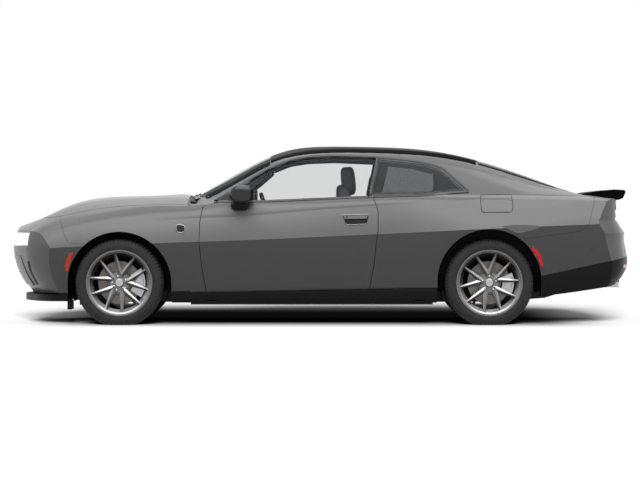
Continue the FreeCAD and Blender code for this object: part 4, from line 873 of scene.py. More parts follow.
def screen_corner(side_name, side):
    """The painted corner between the fender, the hood's rear end and the screen pillar."""
    (x0, z0), (x1, z1) = SCREEN_FOOT_LINE
    rows = []
    for k in range(12):
        x = 885 + 19 * k
        top = z0 + (z1 - z0) * min(1, (x - x0) / (x1 - x0))
        low_p, _ = on_side(x, FENDER_TOP - 8)
        top_p = draped(on_side, min(x, 1052), top + 7, 0)
        if low_p is None:
            low_p = Vector((x, top_p.y + 10, FENDER_TOP - 8))
        if x > x1:
            top_p = top_p.lerp(Vector((x, 866, 1040)), min(1, (x - x1) / 34))
        row = [low_p + Vector((0, -9, -6)), low_p + Vector((0, 0.6, 0))]
        row += [low_p.lerp(top_p, j / 5) + Vector((0, 0.8 + 2.5 * math.sin(math.pi * j / 5), 0)) for j in range(1, 6)]
        row += [Vector((x, top_p.y - 34, top_p.z + 3)), Vector((x, top_p.y - 90, top_p.z - 4)),
                Vector((x, top_p.y - 92, top_p.z - 20))]
        for p in row:
            p.x = x
        rows.append(row)
    sheet_piece(f"screen_corner_{side_name}", rows, PAINT, "body", side=side)


LINER_ANGLE = 35
ARCH_LINER = 404.0  # radius of the liners that hang ahead of and behind each wheel


def arch_liners(side_name, side):
    """Black plastic liners that reach below the wheelhouse, ahead of and behind each tyre."""
    for axle in ("front", "rear"):
        hub = hub_of(f"rim_{axle}_left")
        for end, (first, last) in {"ahead": (-22, 8), "behind": (172, 204 if axle == "front" else 192)}.items():
            rows = []
            for k in range(9):
                a = math.radians(first + (last - first) * k / 8)
                row = []
                for radius, y in ((ARCH_LINER, 600), (ARCH_LINER, 868), (ARCH_LINER + 5, 872), (ARCH_LINER + 5, 600)):
                    row.append((hub[0] + radius * math.cos(a), y, hub[2] + radius * math.sin(a)))
                rows.append(row)
            auto_smooth(sheet_piece(f"arch_liner_{axle}_{end}_{side_name}", rows, SATIN_BLACK, "body", True,
                                    caps=True, side=side), LINER_ANGLE)


def sill_seal(side_name, side):
    """The black seal between the fender's lower end and the sill cover."""
    block(f"sill_seal_{side_name}", (1080, 842, 258), (1233, 912, 284), SATIN_BLACK, "body", 5, side)


def undertray(name, stations, half):
    """A black pan under the car: stations hold (x, underside, top of its sides)."""
    rows = []
    for x, low, high in stations:
        rows.append([(x, -half, high), (x, -half + 14, low + 8), (x, -half + 30, low), (x, half - 30, low),
                     (x, half - 14, low + 8), (x, half, high), (x, half - 5, high), (x, half - 20, low + 10),
                     (x, half - 34, low + 5), (x, -half + 34, low + 5), (x, -half + 20, low + 10),
                     (x, -half + 5, high)])
    auto_smooth(sheet_piece(name, rows, UNDERBODY, "body", True, caps=True), LINER_ANGLE)


undertray("front_undertray", [(1120, 180, 300), (1150, 178, 330), (1700, 178, 330), (2060, 196, 320),
                              (2100, 214, 300)], 455)
undertray("rear_undertray", [(-960, 180, 300), (-1000, 178, 330), (-1500, 180, 340), (-1900, 212, 350),
                             (-2060, 262, 340)], 455)


def top_band(name, x_from, x_to, drops, finish, body, side, inner=470.0):
    """A dark band on the roof's outer edge, from the inner line out to where the skin has dropped by drops."""
    rows = []
    count = max(2, round(abs(x_to - x_from) / 30))
    for k in range(count + 1):
        t = k / count
        x = x_from + (x_to - x_from) * t
        drop = drops[0] + (drops[1] - drops[0]) * t
        top = draped(on_top, x, inner, 0).z
        outer = inner
        while outer < 900:
            point, _ = on_top(x, outer + 4)
            if point is None or point.z < top - drop:
                break
            outer += 4
        row = [draped(on_top, x, inner + (outer - inner) * j / 10, 1.6) for j in range(11)]
        row = [row[0] - Vector((0, 0, 4))] + row + [row[-1] - Vector((0, 0, 4))]
        rows.append(row)
    sheet_piece(name, rows, finish, body, side=side)


def roof_bands(side_name, side):
    top_band(f"screen_band_{side_name}", 1010, 418, (72, 62), SCREEN_BLACK, "body", side)
    top_band(f"rear_band_{side_name}", -1330, -2080, (16, 9), SCREEN_BLACK, "body", side, 588.0)
    top_band(f"roof_band_{side_name}", 412, -1310, (46, 40), ROOF_BLACK, "body", side)


both_sides(screen_corner, arch_liners, sill_seal, roof_bands, side_glass_trim, door_handle, fender_badge,
           jack_covers, mirror_parts)
fuel_door()


# ---------------------------------------------------------------- wipers, nose and tail


def wiper(tag, y0, y1, x_pivot):
    """An arm that lies along the foot of the windscreen, and its blade."""
    points = []
    for k in range(7):
        t = k / 6
        y = y0 + (y1 - y0) * t
        x = x_pivot - 26 * math.sin(math.pi * t) * 0.4 - 34 * t
        p = draped(on_top, x, y, 9 + 5 * math.sin(math.pi * t))
        points.append(p)
    tube(f"wiper_arm_{tag}", points, 4.5, SATIN_BLACK, "body", 8)
    blade = []
    for k in range(9):
        y = y0 + (y1 - y0) * (0.35 + 0.75 * k / 8)
        x = x_pivot - 52
        blade.append(draped(on_top, x, y, 7))
    tube(f"wiper_blade_{tag}", blade, 5.5, SATIN_BLACK, "body", 8)


wiper("left", 470, 60, 1072)
wiper("right", -100, -500, 1072)


SENSOR_R = 13


def bumper_slot(side_name, side):
    """The upright slit at the corner of the front bumper, drawn as a black strip of painted shade on the skin, and the
    parking sensor beside it.
    """
    line = [(2436, 528), (2414, 430), (2362, 330)]
    # Painted shade: the slit is a black strip laid on the skin, not an opening.
    ribbon(f"corner_slit_{side_name}", line, 10, 1.2, SEAM_BLACK, "body", side=side, smooth=True)
    ribbon(f"corner_slit_edge_{side_name}", [(2450, 528), (2428, 430), (2377, 330)], 2.5, 3.0, GLOSS_BLACK, "body",
           side=side, smooth=True)
    for k, (x, z) in enumerate(((2188, 530), (-2267, 628))):
        disc = [(x + SENSOR_R * c, z + SENSOR_R * s) for c, s in circle(16)]
        patch(f"sensor_{side_name}_{k}", disc, 1.0, PAINT, "body", side=side)
        ribbon(f"sensor_ring_{side_name}_{k}", disc, 1.3, 0.5, SEAM_BLACK, "body", closed=True, side=side, step=5)


FRONT_MARKER = [(2048, 602), (2078, 598), (2099, 560), (2113, 500), (2120, 452), (2094, 448), (2085, 486), (2068, 544)]
FRONT_BED = [(2082, 600), (2126, 600), (2116, 444), (2088, 448)]
REAR_BED = [(-1726, 644), (-1770, 654), (-1870, 490), (-1842, 476)]
REAR_MARKER = [(-1757, 648), (-1790, 640), (-1832, 580), (-1858, 488), (-1834, 483), (-1814, 540), (-1787, 598),
               (-1758, 624)]


def markers(side_name, side):
    """Curved lenses beside the arches, orange-red in front and red behind, on painted beds."""
    for tag, shape, bed, finish in (("front", FRONT_MARKER, FRONT_BED, MARKER_LENS),
                                    ("rear", REAR_MARKER, REAR_BED, RED_LENS)):
        patch(f"{tag}_marker_bed_{side_name}", bed, 0.8, PAINT, "body", side=side)
        # The marker lenses carry the lens material's painted glow.
        lens = patch(f"{tag}_marker_{side_name}", shape, 5, finish, "body", side=side, radius=9)
        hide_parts("side_markers")


both_sides(bumper_slot, markers)


LAMP_Z = 725  # height of the projectors' middles


def lamp_inside(side_name, side):
    """Behind the clear lens: two projectors and a bright upper bar."""
    for k, y in enumerate((600, 676)):
        x = draped(on_nose, y, 727, 0).x - 24
        barrel = [(0.01, 6), (14, 7.5), (19, 6), (21, 0), (24, 2), (25, -14)]
        rows = [[(x + out, y + r * s, LAMP_Z + r * c) for r, out in barrel] for c, s in circle(28)]
        sheet_piece(f"projector_{side_name}_{k}", rows, CHROME, "body", along=True, side=side)
    line = [(y, 752) for y in range(540, 770, 12)]
    ribbon(f"lamp_bar_{side_name}", line, 3.5, 1.6, LED, "body", where=on_nose, side=side)


both_sides(lamp_inside)


def grille_frame():
    """Black mouldings over and under the lower intake."""
    for name, z in (("intake_top", 552), ("intake_foot", 332)):
        line = [(y, z) for y in range(-216, 217, 24)]
        ribbon(name, line, 4, 3, GLOSS_BLACK, "body", where=on_nose)


grille_frame()


def intake_cheek(side_name, side):
    """The painted cheek at each end of the lower intake, bridging the bars behind it."""
    rows = []
    for k in range(16):
        y = 222 + 24 * k
        row = []
        for z in range(322, 571, 8):
            reach = max(draped(on_nose, y, z + dz, 0).x for dz in range(-16, 17, 4))
            row.append(Vector((reach + 1.5, y, z)))
        rows.append([row[0] - Vector((12, 0, 0))] + row + [row[-1] - Vector((12, 0, 0))])
    rows = [[p - Vector((40, 0, 0)) for p in rows[0]]] + rows + [[p - Vector((10, -4, 0)) for p in rows[-1]]]
    auto_smooth(sheet_piece(f"intake_cheek_{side_name}", rows, PAINT, "body", side=side), LINER_ANGLE)


both_sides(intake_cheek)


def tail_details():
    """The bars and cells of the tail lamp, the reflectors and the parking sensors."""
    for name, z, half in (("tail_light_bar", 931, 5), ("tail_light_low", 887, 3.5)):
        line = [(y, z) for y in range(-756, 757, 18)]
        ribbon(name, line, half, 1.8, RED_LIGHT, "body", where=on_tail, step=18)
    for sign in (-1, 1):
        for k in range(6):
            y = sign * (420 + 54 * k)
            ribbon(f"tail_cell_{sign + 1}_{k}", [(y, 894), (y + 14 * sign, 924)], 2.4, 1.5, RED_LIGHT, "body",
                   where=on_tail)
    for sign in (-1, 1):
        fog = [(sign * 560, 470), (sign * 760, 476), (sign * 760, 500), (sign * 560, 496)]
        # The reflectors carry the red lens's painted glow, though they hold no lamp.
        patch(f"rear_reflector_{sign + 1}", fog, 3, RED_LENS, "body", where=on_tail, radius=8)
        for k, y in enumerate((250, 640)):
            ring = [(sign * y + SENSOR_R * c, 610 + SENSOR_R * s) for c, s in circle(16)]
            ribbon(f"rear_sensor_{sign + 1}_{k}", ring, 1.3, 0.5, SEAM_BLACK, "body", where=on_tail, closed=True,
                   step=5)


tail_details()


TIP_X, TIP_Y, TIP_Z = -2508, 560, 346  # mouth of the tail pipe


def exhaust_tips():
    """A bright sleeve on each tail pipe, with a black disc just inside its mouth as painted shade down the pipe."""
    for side_name, side in SIDES.items():
        outer = [(TIP_X - 6, 44), (TIP_X - 10, 42.5), (TIP_X - 10, 40), (TIP_X - 4, 38.5), (-2440, 38.5), (-2400, 30)]
        rows = [[(x, TIP_Y + r * s, TIP_Z + r * c) for x, r in outer] for c, s in circle(40)]
        sheet_piece(f"exhaust_tip_{side_name}", rows, CHROME, "body", along=True, side=side)
        # Painted shade: a black disc closes the pipe just inside its mouth.
        mouth_shade = [(TIP_X - 1, TIP_Y + 39 * s, TIP_Z + 39 * c) for c, s in circle(40)]
        add_piece(f"exhaust_bore_{side_name}", mouth_shade, [tuple(range(40))], SEAM_BLACK, "body", side=side, smooth=False)


exhaust_tips()


def defroster():
    """Fine heating lines on the rear glass, laid just over its top face."""
    tree = skin("rear_glass")
    for k in range(12):
        x = -1430 - 52 * k
        pts = []
        for j in range(-9, 10):
            y = j * 50
            p, n = hit(tree, (x, y, 3000), (0, 0, -1))
            if p is not None:
                pts.append(p + n * 0.4)
        if len(pts) > 2:
            tube(f"heating_line_{k}", pts, 0.9, SEAM_BLACK, "tailgate", 4, step=60)


defroster()

# ---------------------------------------------------------------- cabin


def cushion(name, size, place, turn, body, side=1, seams=(), bolster=0.0, crown=14, tuck=5.0, finish=LEATHER,
            replaces=(), waist=0.0):
    """A stuffed pad: length, width, thickness; crowned, with sewn grooves and raised sides.
    seams holds ("across", position from -1 to 1) or ("along", position) pairs."""
    length, width, thick = (s / 2 for s in size)
    n = 26
    verts, faces, index = [], [], {}
    rotate = Matrix.Rotation(math.radians(turn), 3, "Y")

    def shape(u, v, w):
        square = 5.0
        spread_out = (abs(u) ** square + abs(v) ** square + abs(w) ** square) ** (1 / square)
        u, v, w = u / spread_out, v / spread_out, w / spread_out
        x, y, z = u * length, v * width * (1 - waist * u * u), w * thick
        if w > 0:
            face = min(1.0, w * 1.4)
            z += crown * (1 - u * u) * (1 - v * v) * face
            z += bolster * face * max(0.0, (abs(v) - 0.55) / 0.45) ** 1.2 * (1 - 0.35 * abs(u))
            for kind, at in seams:
                near = abs(v) - abs(at) if kind == "along" else u - at
                span = width if kind == "along" else length
                if kind == "across" and abs(v) > 0.66:
                    continue
                z -= tuck * math.exp(-((near * span) / 5.5) ** 2) * face
        edge = abs(w)
        if edge < 0.1:
            x *= 1 - 0.006 * (1 - edge / 0.1)
            y *= 1 - 0.006 * (1 - edge / 0.1)
        return x, y, z

    def vertex(u, v, w):
        key = (round(u, 5), round(v, 5), round(w, 5))
        if key not in index:
            index[key] = len(verts)
            x, y, z = shape(u, v, w)
            p = rotate @ Vector((x, y, z)) + Vector(place)
            verts.append((p.x, p.y, p.z))
        return index[key]

    axes = ((0, 1, 2), (1, 2, 0), (2, 0, 1))
    grid = [2 * k / n - 1 for k in range(n + 1)]
    fine = sorted(set(grid + [a + d for kind, a in seams for d in (-0.03, -0.015, 0, 0.015, 0.03)]
                      + [-a - d for kind, a in seams if kind == "along" for d in (-0.03, -0.015, 0, 0.015, 0.03)]))
    fine = [g for g in fine if -1 <= g <= 1]
    lines = {0: fine, 1: fine, 2: grid[::2]}
    for a, b, c in axes:
        for sign in (-1, 1):
            for i in range(len(lines[a]) - 1):
                for j in range(len(lines[b]) - 1):
                    quad = []
                    for di, dj in ((0, 0), (1, 0), (1, 1), (0, 1)):
                        p = [0, 0, 0]
                        p[a], p[b], p[c] = lines[a][i + di], lines[b][j + dj], sign
                        quad.append(vertex(*p))
                    if sign < 0:
                        quad.reverse()
                    if len(set(quad)) > 2:
                        faces.append(tuple(quad))
    obj = add_piece(name, verts, faces, finish, body, side=side, replaces=replaces)
    return obj


FRONT_SEAT_Y = 390
SEAT_SEAMS = [("along", 0.56), ("across", -0.35), ("across", 0.3)]


def front_seat(side_name, side):
    """Cushion, back and head rest, on a base with two rails."""
    tag, y = side_name, FRONT_SEAT_Y
    cushion(f"seat_cushion_{tag}", (520, 480, 128), (-8, y, 418), 4, "body", side, SEAT_SEAMS, 30, 18,
            replaces=("front_seats",))
    cushion(f"seat_back_{tag}", (720, 470, 112), (-226, y, 812), -83, "body", side,
            [("along", 0.54), ("across", -0.45), ("across", 0.05), ("across", 0.5)], 34, 14, waist=0.14)
    cushion(f"head_rest_{tag}", (240, 265, 108), (-238, y, 1200), -84, "body", side, [("across", 0.0)], 0, 10)
    for k, dy in enumerate((-62, 62)):
        tube(f"head_post_{tag}_{k}", [(-244, y + dy, 1080), (-240, y + dy, 1130)], 6, CHROME, "body", 10,
             smooth=False, side=side, up=(1, 0, 0))
    block(f"seat_base_{tag}", (-235, y - 205, 262), (195, y + 205, 352), DASH_SKIN, "body", 14, side)
    for k, dy in enumerate((-170, 170)):
        block(f"seat_rail_{tag}_{k}", (-250, y + dy - 18, 228), (215, y + dy + 18, 262), CAST, "body", 4, side)
    block(f"seat_switch_{tag}", (-60, y + 238, 372), (90, y + 250, 400), GLOSS_BLACK, "body", 5, side)
    block(f"belt_buckle_{tag}", (-215, y - 262, 440), (-185, y - 246, 560), DASH_SKIN, "body", 6, side)


def rear_bench():
    """Two seats' cushions, backs and head rests, with a tray between."""
    for side_name, side in SIDES.items():
        cushion(f"bench_cushion_{side_name}", (400, 470, 118), (-702, 300, 500), 5, "body", side,
                [("along", 0.6), ("across", 0.0)], 22, 14, replaces=("rear_seat",))
        cushion(f"bench_back_{side_name}", (480, 470, 100), (-918, 300, 762), -70, "body", side,
                [("along", 0.58), ("across", -0.3), ("across", 0.35)], 24, 12)
        cushion(f"bench_head_{side_name}", (120, 240, 76), (-1000, 300, 1020), -76, "body", side, [("across", 0.0)],
                0, 8)
    block("bench_tray", (-880, -58, 470), (-520, 58, 545), DASH_SKIN, "body", 16)


def dashboard_parts():
    """Screens, vents, trim, console with its selector and cup rings, and the pedals."""
    for k, (y, w) in enumerate(((372, 250), (20, 300))):
        block(f"screen_case_{k}", (588, y - w / 2, 842), (604, y + w / 2, 990), GLOSS_BLACK, "body", 8,
              turn=("Y", 12))
        block(f"screen_{k}", (584, y - w / 2 + 8, 850), (589, y + w / 2 - 8, 982), SCREEN, "body", 3,
              turn=("Y", 12))
    for k, y in enumerate((-640, -240, 190, 650)):
        block(f"vent_{k}", (574, y - 62, 782), (592, y + 62, 832), GLOSS_BLACK, "body", 6)
        for j in range(4):
            z = 790 + 11 * j
            block(f"vent_slat_{k}_{j}", (568, y - 56, z), (576, y + 56, z + 3), CHROME if j == 3 else SATIN_BLACK,
                  "body", 1)
    tube("dash_trim", [(578, y, 765) for y in range(-740, 741, 40)], 6, CHROME, "body", 8)
    block("console_top", (-52, -112, 636), (560, 112, 652), GLOSS_BLACK, "body", 8)
    block("console_rise", (520, -108, 640), (610, 108, 830), DASH_SKIN, "body", 14)
    for k, y in enumerate((-42, 42)):
        ring = [(38, 0), (38, 4), (33, 4.5), (33, -6)]
        rows = [[(330 + r * c, y + r * s, 653 + h) for r, h in ring] for c, s in circle(36)]
        sheet_piece(f"cup_ring_{k}", rows, CHROME, "body", along=True)
    block("selector_base", (170, -36, 650), (260, 36, 660), SATIN_BLACK, "body", 4)
    block("selector", (196, -20, 656), (246, 20, 712), CHROME, "body", 12, taper=(0.8, 0.8))
    cushion("console_pad", (250, 210, 48), (62, 0, 668), 0, "body", 1, [("along", 0.0)], 0, 6, 3.0)
    for k, (y, w) in enumerate(((395, 46), (300, 74))):
        block(f"pedal_{k}", (800, y - w / 2, 330), (812, y + w / 2, 420), STEEL, "body", 3, turn=("Y", -25))
        tube(f"pedal_arm_{k}", [(812, y, 400), (850, y, 520), (880, y, 600)], 8, CAST, "body", 8, up=(0, 1, 0))


WHEEL_MIDDLE = Vector((441, 370, 920))
WHEEL_TILT = Matrix.Rotation(math.radians(-70.7), 3, "Y")


def steering_wheel():
    """Leather rim, three spokes and a boss, over the CAD wheel's place."""
    def at_wheel(p):
        q = WHEEL_TILT @ Vector(p) + WHEEL_MIDDLE
        return (q.x, q.y, q.z)

    def ring(name, major, minor, lift, finish, squeeze=1.0):
        rows = []
        for i in range(84):
            a = 2 * math.pi * i / 84
            grip = 1 + 0.12 * math.exp(-((math.degrees(a) % 180 - 62) / 12) ** 2) if minor > 10 else 1
            rows.append([at_wheel(((major + minor * grip * math.cos(b)) * math.cos(a),
                                   (major + minor * grip * math.cos(b)) * math.sin(a),
                                   lift + minor * squeeze * math.sin(b)))
                         for b in (2 * math.pi * k / 14 for k in range(14))])
        return sheet_piece(name, rows, finish, "body", True, True)

    rim = ring("wheel_grip", 178, 17.4, 0, LEATHER)
    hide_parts("steering_wheel")
    for k, angle in enumerate((90, 270, 180)):
        a = math.radians(angle)
        rows = []
        for t in range(9):
            r = 40 + (168 - 40) * t / 8
            half = 26 - 10 * t / 8
            dip = -10 * math.sin(math.pi * t / 8)
            rows.append([at_wheel((r * math.cos(a) - u * math.sin(a), r * math.sin(a) + u * math.cos(a), dip + v))
                         for u, v in ((-half, -7), (-half, 4), (-half * 0.6, 8), (half * 0.6, 8), (half, 4),
                                      (half, -7))])
        sheet_piece(f"wheel_spoke_{k}", rows, SATIN_BLACK, "body", True)
    boss = ((0.01, 20), (30, 20), (52, 16), (60, 8), (62, -6), (56, -26), (34, -40), (32, -52))
    rows = [[at_wheel((r * 1.12 * c, r * s, h)) for c, s in circle(40)] for r, h in boss]
    sheet_piece("wheel_boss", rows, DASH_SKIN, "body", True)


def door_card(side_name, side):
    """The inside of a door: trim panel, arm rest, pull, speaker, handle and pocket."""
    door, tag = f"door_{side_name}", side_name
    block(f"card_{tag}", (-420, 770, 345), (845, 783, 990), DASH_SKIN, door, 10, side)
    block(f"card_top_{tag}", (-432, 762, 968), (842, 800, 1018), DASH_SKIN, door, 14, side)
    block(f"arm_rest_{tag}", (-300, 700, 655), (360, 772, 700), LEATHER, door, 16, side)
    block(f"door_pull_{tag}", (120, 712, 695), (330, 740, 735), GLOSS_BLACK, door, 8, side)
    block(f"card_pocket_{tag}", (-240, 738, 372), (520, 772, 470), DASH_SKIN, door, 14, side)
    block(f"inner_handle_{tag}", (470, 752, 806), (590, 770, 832), CHROME, door, 7, side)
    speaker = ((92, 0), (90, -6), (82, -8), (80, -4))
    rows = [[(640 + r * c, 770 + out, 470 + r * s) for c, s in circle(40)] for r, out in speaker]
    sheet_piece(f"speaker_ring_{tag}", rows, CHROME, door, True, side=side)


def linings():
    """Carpets, mats, parcel shelf and headliner."""
    block("floor_carpet", (-900, -738, 226), (1040, 738, 232), CARPET, "body", 2)
    for side_name, side in SIDES.items():
        block(f"tunnel_carpet_{side_name}", (-930, 131, 232), (700, 137, 424), CARPET, "body", 2, side)
        block(f"floor_mat_{side_name}", (330, 170, 233), (860, 640, 241), CARPET, "body", 3, side)
    for name, low, high, radius in (("tunnel_top_carpet", (-900, -134, 421), (-62, 134, 428), 3),
                                    ("parcel_shelf", (-1290, -540, 1000), (-1060, 540, 1012), 4),
                                    ("boot_carpet", (-2400, -630, 511), (-950, 630, 519), 3),
                                    ("boot_back_carpet", (-2412, -560, 520), (-2404, 560, 840), 2)):
        block(name, low, high, CARPET, "body", radius)
    roof = skin("roof_panel", "windscreen", "rear_glass", "body_side_left", "body_side_right")
    rows, last = [], Vector((0, 0, 1340))
    for i in range(29):
        x = 380 - 1680 * i / 28
        row = []
        for j in range(23):
            y = -580 + 1160 * j / 22
            p, n = hit(roof, (x, y, 3000), (0, 0, -1))
            last = Vector((x, y, p.z - 34)) if p is not None else last
            row.append(last)
        rows.append(row)
    sheet_piece("headliner", rows, HEADLINER, "body")


ROOF_RAIL = [(436, 1262), (255, 1334), (96, 1358), (-131, 1366), (-472, 1352), (-812, 1316), (-985, 1268)]


def roof_trims(side_name, side):
    """The inner trims round the side windows: roof rail, screen pillar and rear quarter."""
    tag = side_name

    def band(name, outer, inner, y_outer, y_inner):
        rows = []
        for (xa, za), (xb, zb) in zip(outer, inner):
            rows.append([(xa, y_outer(za), za), (xb, y_inner(zb), zb), (xb, y_inner(zb) - 14, zb + 4),
                         (xa, y_outer(za) - 30, za - 2)])
        sheet_piece(name, rows, HEADLINER_DARK, "body", True, side=side)

    def inside(z):
        return 838 - (z - 1060) * 0.60

    outer = [(x, z + 46) for x, z in ROOF_RAIL]
    band(f"rail_trim_{tag}", outer, ROOF_RAIL, lambda z: inside(z) - 12, lambda z: inside(z) - 12)
    band(f"screen_pillar_trim_{tag}", [(873, 1040), (617, 1182), (436, 1290)], [(700, 1040), (520, 1160), (400, 1262)],
         lambda z: inside(z) - 14, lambda z: inside(z) - 14)
    band(f"middle_pillar_trim_{tag}", [(-455, 1080), (-515, 1360)], [(-515, 1080), (-580, 1350)],
         lambda z: inside(z) - 20, lambda z: inside(z) - 20)
    band(f"quarter_trim_{tag}", [(-985, 1085), (-1000, 1180), (-990, 1290)], [(-1230, 1095), (-1140, 1180),
                                                                            (-1040, 1290)],
         lambda z: inside(z) - 20, lambda z: inside(z) - 20)


HEADLINER_DARK = make_fabric("pillar_trim", (0.020, 0.023, 0.028), (0.032, 0.036, 0.042), 700.0)
both_sides(front_seat)
rear_bench()
dashboard_parts()
steering_wheel()
both_sides(door_card)
linings()
both_sides(roof_trims)
block("inner_mirror", (392, -118, 1250), (408, 118, 1312), GLOSS_BLACK, "body", 12)
block("inner_mirror_glass", (389, -108, 1258), (392.5, 108, 1304), MIRROR, "body", 1.5)
tube("inner_mirror_stem", [(402, 0, 1300), (430, 0, 1345), (436, 0, 1372)], 7, SATIN_BLACK, "body", 8)


# ---------------------------------------------------------------- engine bay


def engine_bay():
    """Cover, radiator with fans, air box, battery, tanks and hoses, brace, strut towers and springs."""
    block("engine_cover", (1260, -230, 886), (1780, 230, 912), SATIN_BLACK, "body", 20)
    for k in range(6):
        y = -150 + 60 * k
        block(f"cover_rib_{k}", (1300, y - 8, 908), (1740, y + 8, 920), ALLOY, "body", 5)
    block("oil_cap", (1700, -200, 915), (1750, -150, 932), SATIN_BLACK, "body", 14)
    block("radiator", (2150, -420, 400), (2196, 420, 800), CAST, "body", 8)
    for k, y in enumerate((-200, 200)):
        shroud = ((170, 2150), (170, 2120), (158, 2118), (150, 2140))
        rows = [[(x, y + r * c, 600 + r * s) for c, s in circle(48)] for r, x in shroud]
        sheet_piece(f"fan_ring_{k}", rows, SATIN_BLACK, "body", True)
        for blade in range(7):
            a = 2 * math.pi * blade / 7
            pts = []
            for r, lean, x in ((30, -0.25, 2136), (145, -0.12, 2132), (145, 0.12, 2142), (30, 0.25, 2144)):
                pts.append((x, y + r * math.cos(a + lean), 600 + r * math.sin(a + lean)))
            add_piece(f"fan_blade_{k}_{blade}", pts, [(0, 1, 2, 3)], SATIN_BLACK, "body", smooth=False)
        block(f"fan_motor_{k}", (2112, y - 34, 566), (2145, y + 34, 634), CAST, "body", 16)
    block("air_box", (1780, 300, 640), (2080, 560, 830), SATIN_BLACK, "body", 24)
    tube("intake_hose", [(1860, 330, 770), (1850, 240, 830), (1700, 200, 870), (1620, 150, 880)], 42, SATIN_BLACK,
         "body", 16)
    block("battery", (1130, -600, 700), (1330, -420, 890), SATIN_BLACK, "body", 10)
    block("battery_strap", (1215, -604, 700), (1240, -416, 896), STEEL, "body", 3)
    block("coolant_tank", (1820, -560, 660), (2020, -380, 800), TANK_WHITE, "body", 30)
    block("coolant_cap", (1890, -500, 798), (1940, -450, 826), SATIN_BLACK, "body", 12)
    tube("coolant_hose", [(1900, -380, 720), (1990, -300, 760), (2150, -300, 740)], 17, RUBBER, "body", 12)
    tube("top_hose", [(1830, 80, 800), (1980, 120, 850), (2150, 300, 760)], 20, RUBBER, "body", 12)
    tube("tower_brace", [(1480, -560, 850), (1420, -300, 935), (1420, 300, 935), (1480, 560, 850)], 14, ALLOY,
         "body", 12)
    for side_name, side in SIDES.items():
        strut = ((92, 770), (92, 838), (84, 850), (30, 852), (28, 866), (0.01, 868))
        rows = [[(1480 + r * c, 560 + r * s, h) for c, s in circle(40)] for r, h in strut]
        sheet_piece(f"strut_top_{side_name}", rows, UNDERBODY, "body", True, side=side)
        spring = []
        for k in range(121):
            a = 2 * math.pi * k / 20
            spring.append((FRONT_STRUT.x + 52 * math.cos(a), FRONT_STRUT.y + 52 * math.sin(a), 470 + 2.3 * k))
        tube(f"front_spring_{side_name}", spring, 7, CAST, "body", 8, smooth=False, side=side)


FRONT_STRUT = Vector((1640, 515, 0))
engine_bay()

# ---------------------------------------------------------------- studio
# ---- places, sizes and distances below are in metres
bpy.context.scene.view_settings.view_transform = "Standard"
CAMERA_DISTANCE = 28.5
CAMERA_HEIGHT = 0.95
AIM_HEIGHT = 0.698
FRAME_WIDTH = 5.4976  # what the picture spans at the car's centre plane
SENSOR = 36.0


def make_camera():
    data = bpy.data.cameras.new("camera")
    data.sensor_width = SENSOR
    data.lens = SENSOR * CAMERA_DISTANCE / FRAME_WIDTH
    data.clip_end = 200
    cam = bpy.data.objects.new("camera", data)
    bpy.context.collection.objects.link(cam)
    cam.location = (0, CAMERA_DISTANCE, CAMERA_HEIGHT)
    aim = Vector((0, 0, AIM_HEIGHT)) - cam.location
    cam.rotation_euler = aim.to_track_quat("-Z", "Y").to_euler()
    bpy.context.scene.camera = cam


def seen_directly(tree, indirect=("Is Glossy Ray", "Is Transmission Ray")):
    """1 for rays from the camera and for the indirect kinds named."""
    path = node(tree, "ShaderNodeLightPath")
    value = path.outputs["Is Camera Ray"]
    for kind in indirect:
        value = node(tree, "ShaderNodeMath", [(0, value), (1, path.outputs[kind])], operation="MAXIMUM").outputs[0]
    return value


def make_world(strength):
    world = bpy.data.worlds.new("studio")
    bpy.context.scene.world = world
    world.use_nodes = True
    tree = world.node_tree
    tree.nodes.clear()
    light = node(tree, "ShaderNodeBackground", [("Color", (1.0, 1.0, 1.0, 1.0)), ("Strength", strength)])
    white = node(tree, "ShaderNodeBackground", [("Color", (1.0, 1.0, 1.0, 1.0)), ("Strength", 1.0)])
    mix = node(tree, "ShaderNodeMixShader", [(0, seen_directly(tree)), (1, light.outputs[0]), (2, white.outputs[0])])
    out = node(tree, "ShaderNodeOutputWorld")
    tree.links.new(mix.outputs[0], out.inputs["Surface"])


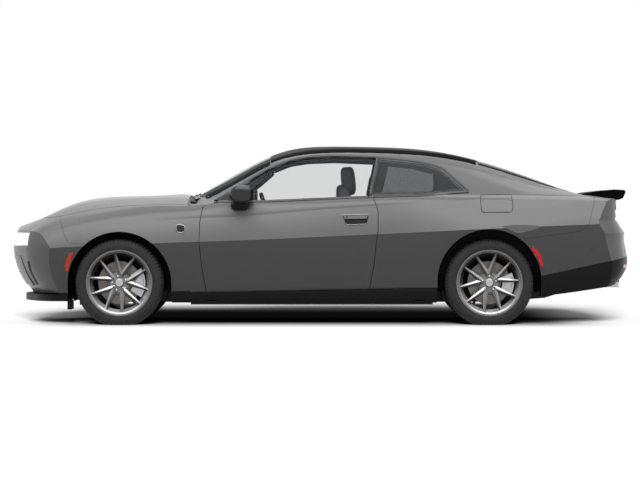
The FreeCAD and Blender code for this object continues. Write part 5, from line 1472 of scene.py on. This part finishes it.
def make_floor(colour, bounce):
    """A pale floor that keeps the car's real shadow, with a painted shadow under and behind the car, and throws little
    light back up.
    """
    bpy.ops.mesh.primitive_plane_add(size=400, location=(0, 0, 0))
    floor = bpy.context.object
    floor.name = "floor"
    m = bpy.data.materials.new("floor")
    m.use_nodes = True
    tree = m.node_tree
    tree.nodes.clear()
    dim = node(tree, "ShaderNodeBsdfDiffuse", [("Color", (bounce, bounce, bounce, 1.0))])
    place = node(tree, "ShaderNodeSeparateXYZ", [("Vector", node(tree, "ShaderNodeNewGeometry").outputs["Position"])])
    along = node(tree, "ShaderNodeMath", [(0, place.outputs["X"])], operation="ABSOLUTE").outputs[0]
    # Painted shadow: the colour goes near black from the car's middle line to 2.4 m out on its far side and within 1.8
    # m of its middle along it, fading out by 6 m on the far side, 1.7 m on the camera's side and 2.55 m along.
    fades = [(along, 2.55, 1.80), (place.outputs["Y"], 1.7, 0.0), (place.outputs["Y"], -6.0, -2.4)]
    dark = 1.0
    for value, edge, core in fades:
        part = node(tree, "ShaderNodeMapRange", [("Value", value), ("From Min", edge), ("From Max", core)],
                    interpolation_type="SMOOTHSTEP").outputs["Result"]
        dark = node(tree, "ShaderNodeMath", [(0, dark), (1, part)], operation="MULTIPLY").outputs[0]
    white, black = (colour, colour, colour, 1.0), (0.02, 0.02, 0.02, 1.0)
    shade = node(tree, "ShaderNodeMix", [("Factor", dark), (COLOUR_A, white), (COLOUR_B, black)],
                 data_type="RGBA").outputs[COLOUR_OUT]
    pale = node(tree, "ShaderNodeBsdfDiffuse", [("Color", shade)])
    mix = node(tree, "ShaderNodeMixShader", [(0, seen_directly(tree)), (1, dim.outputs[0]), (2, pale.outputs[0])])
    out = node(tree, "ShaderNodeOutputMaterial")
    tree.links.new(mix.outputs[0], out.inputs["Surface"])
    floor.data.materials.append(m)
    return floor


def make_sun(name, strength, angle, tilt, floor, lights_floor):
    """Soft light from above, tilted towards the camera's side; it lights only the floor, or all but the floor."""
    data = bpy.data.lights.new(name, "SUN")
    data.energy = strength * math.pi
    data.angle = math.radians(angle)
    sun = bpy.data.objects.new(name, data)
    bpy.context.collection.objects.link(sun)
    sun.rotation_euler = (math.radians(-tilt), 0, 0)
    lit = bpy.data.collections.new(name + "_lights")
    lit.objects.link(floor)
    lit.collection_objects[0].light_linking.link_state = "INCLUDE" if lights_floor else "EXCLUDE"
    sun.light_linking.receiver_collection = lit


WORLD_LIGHT = 0.09
FLOOR_COLOUR = 0.96
FLOOR_BOUNCE = 0.2  # grey of the floor for light that it throws back up
SOFT = 80  # degrees across a soft light
LOW_TILT = 73.0  # the floor's key light, low on the camera's side, so that the shadow runs back under the car
make_camera()
make_world(WORLD_LIGHT)
FLOOR = make_floor(FLOOR_COLOUR, FLOOR_BOUNCE)
make_sun("sky_light", 0.95, SOFT, 14, FLOOR, False)
make_sun("floor_key", 0.86 / math.cos(math.radians(LOW_TILT)), 14, LOW_TILT, FLOOR, True)
make_sun("floor_sky", 0.11, SOFT, 0, FLOOR, True)
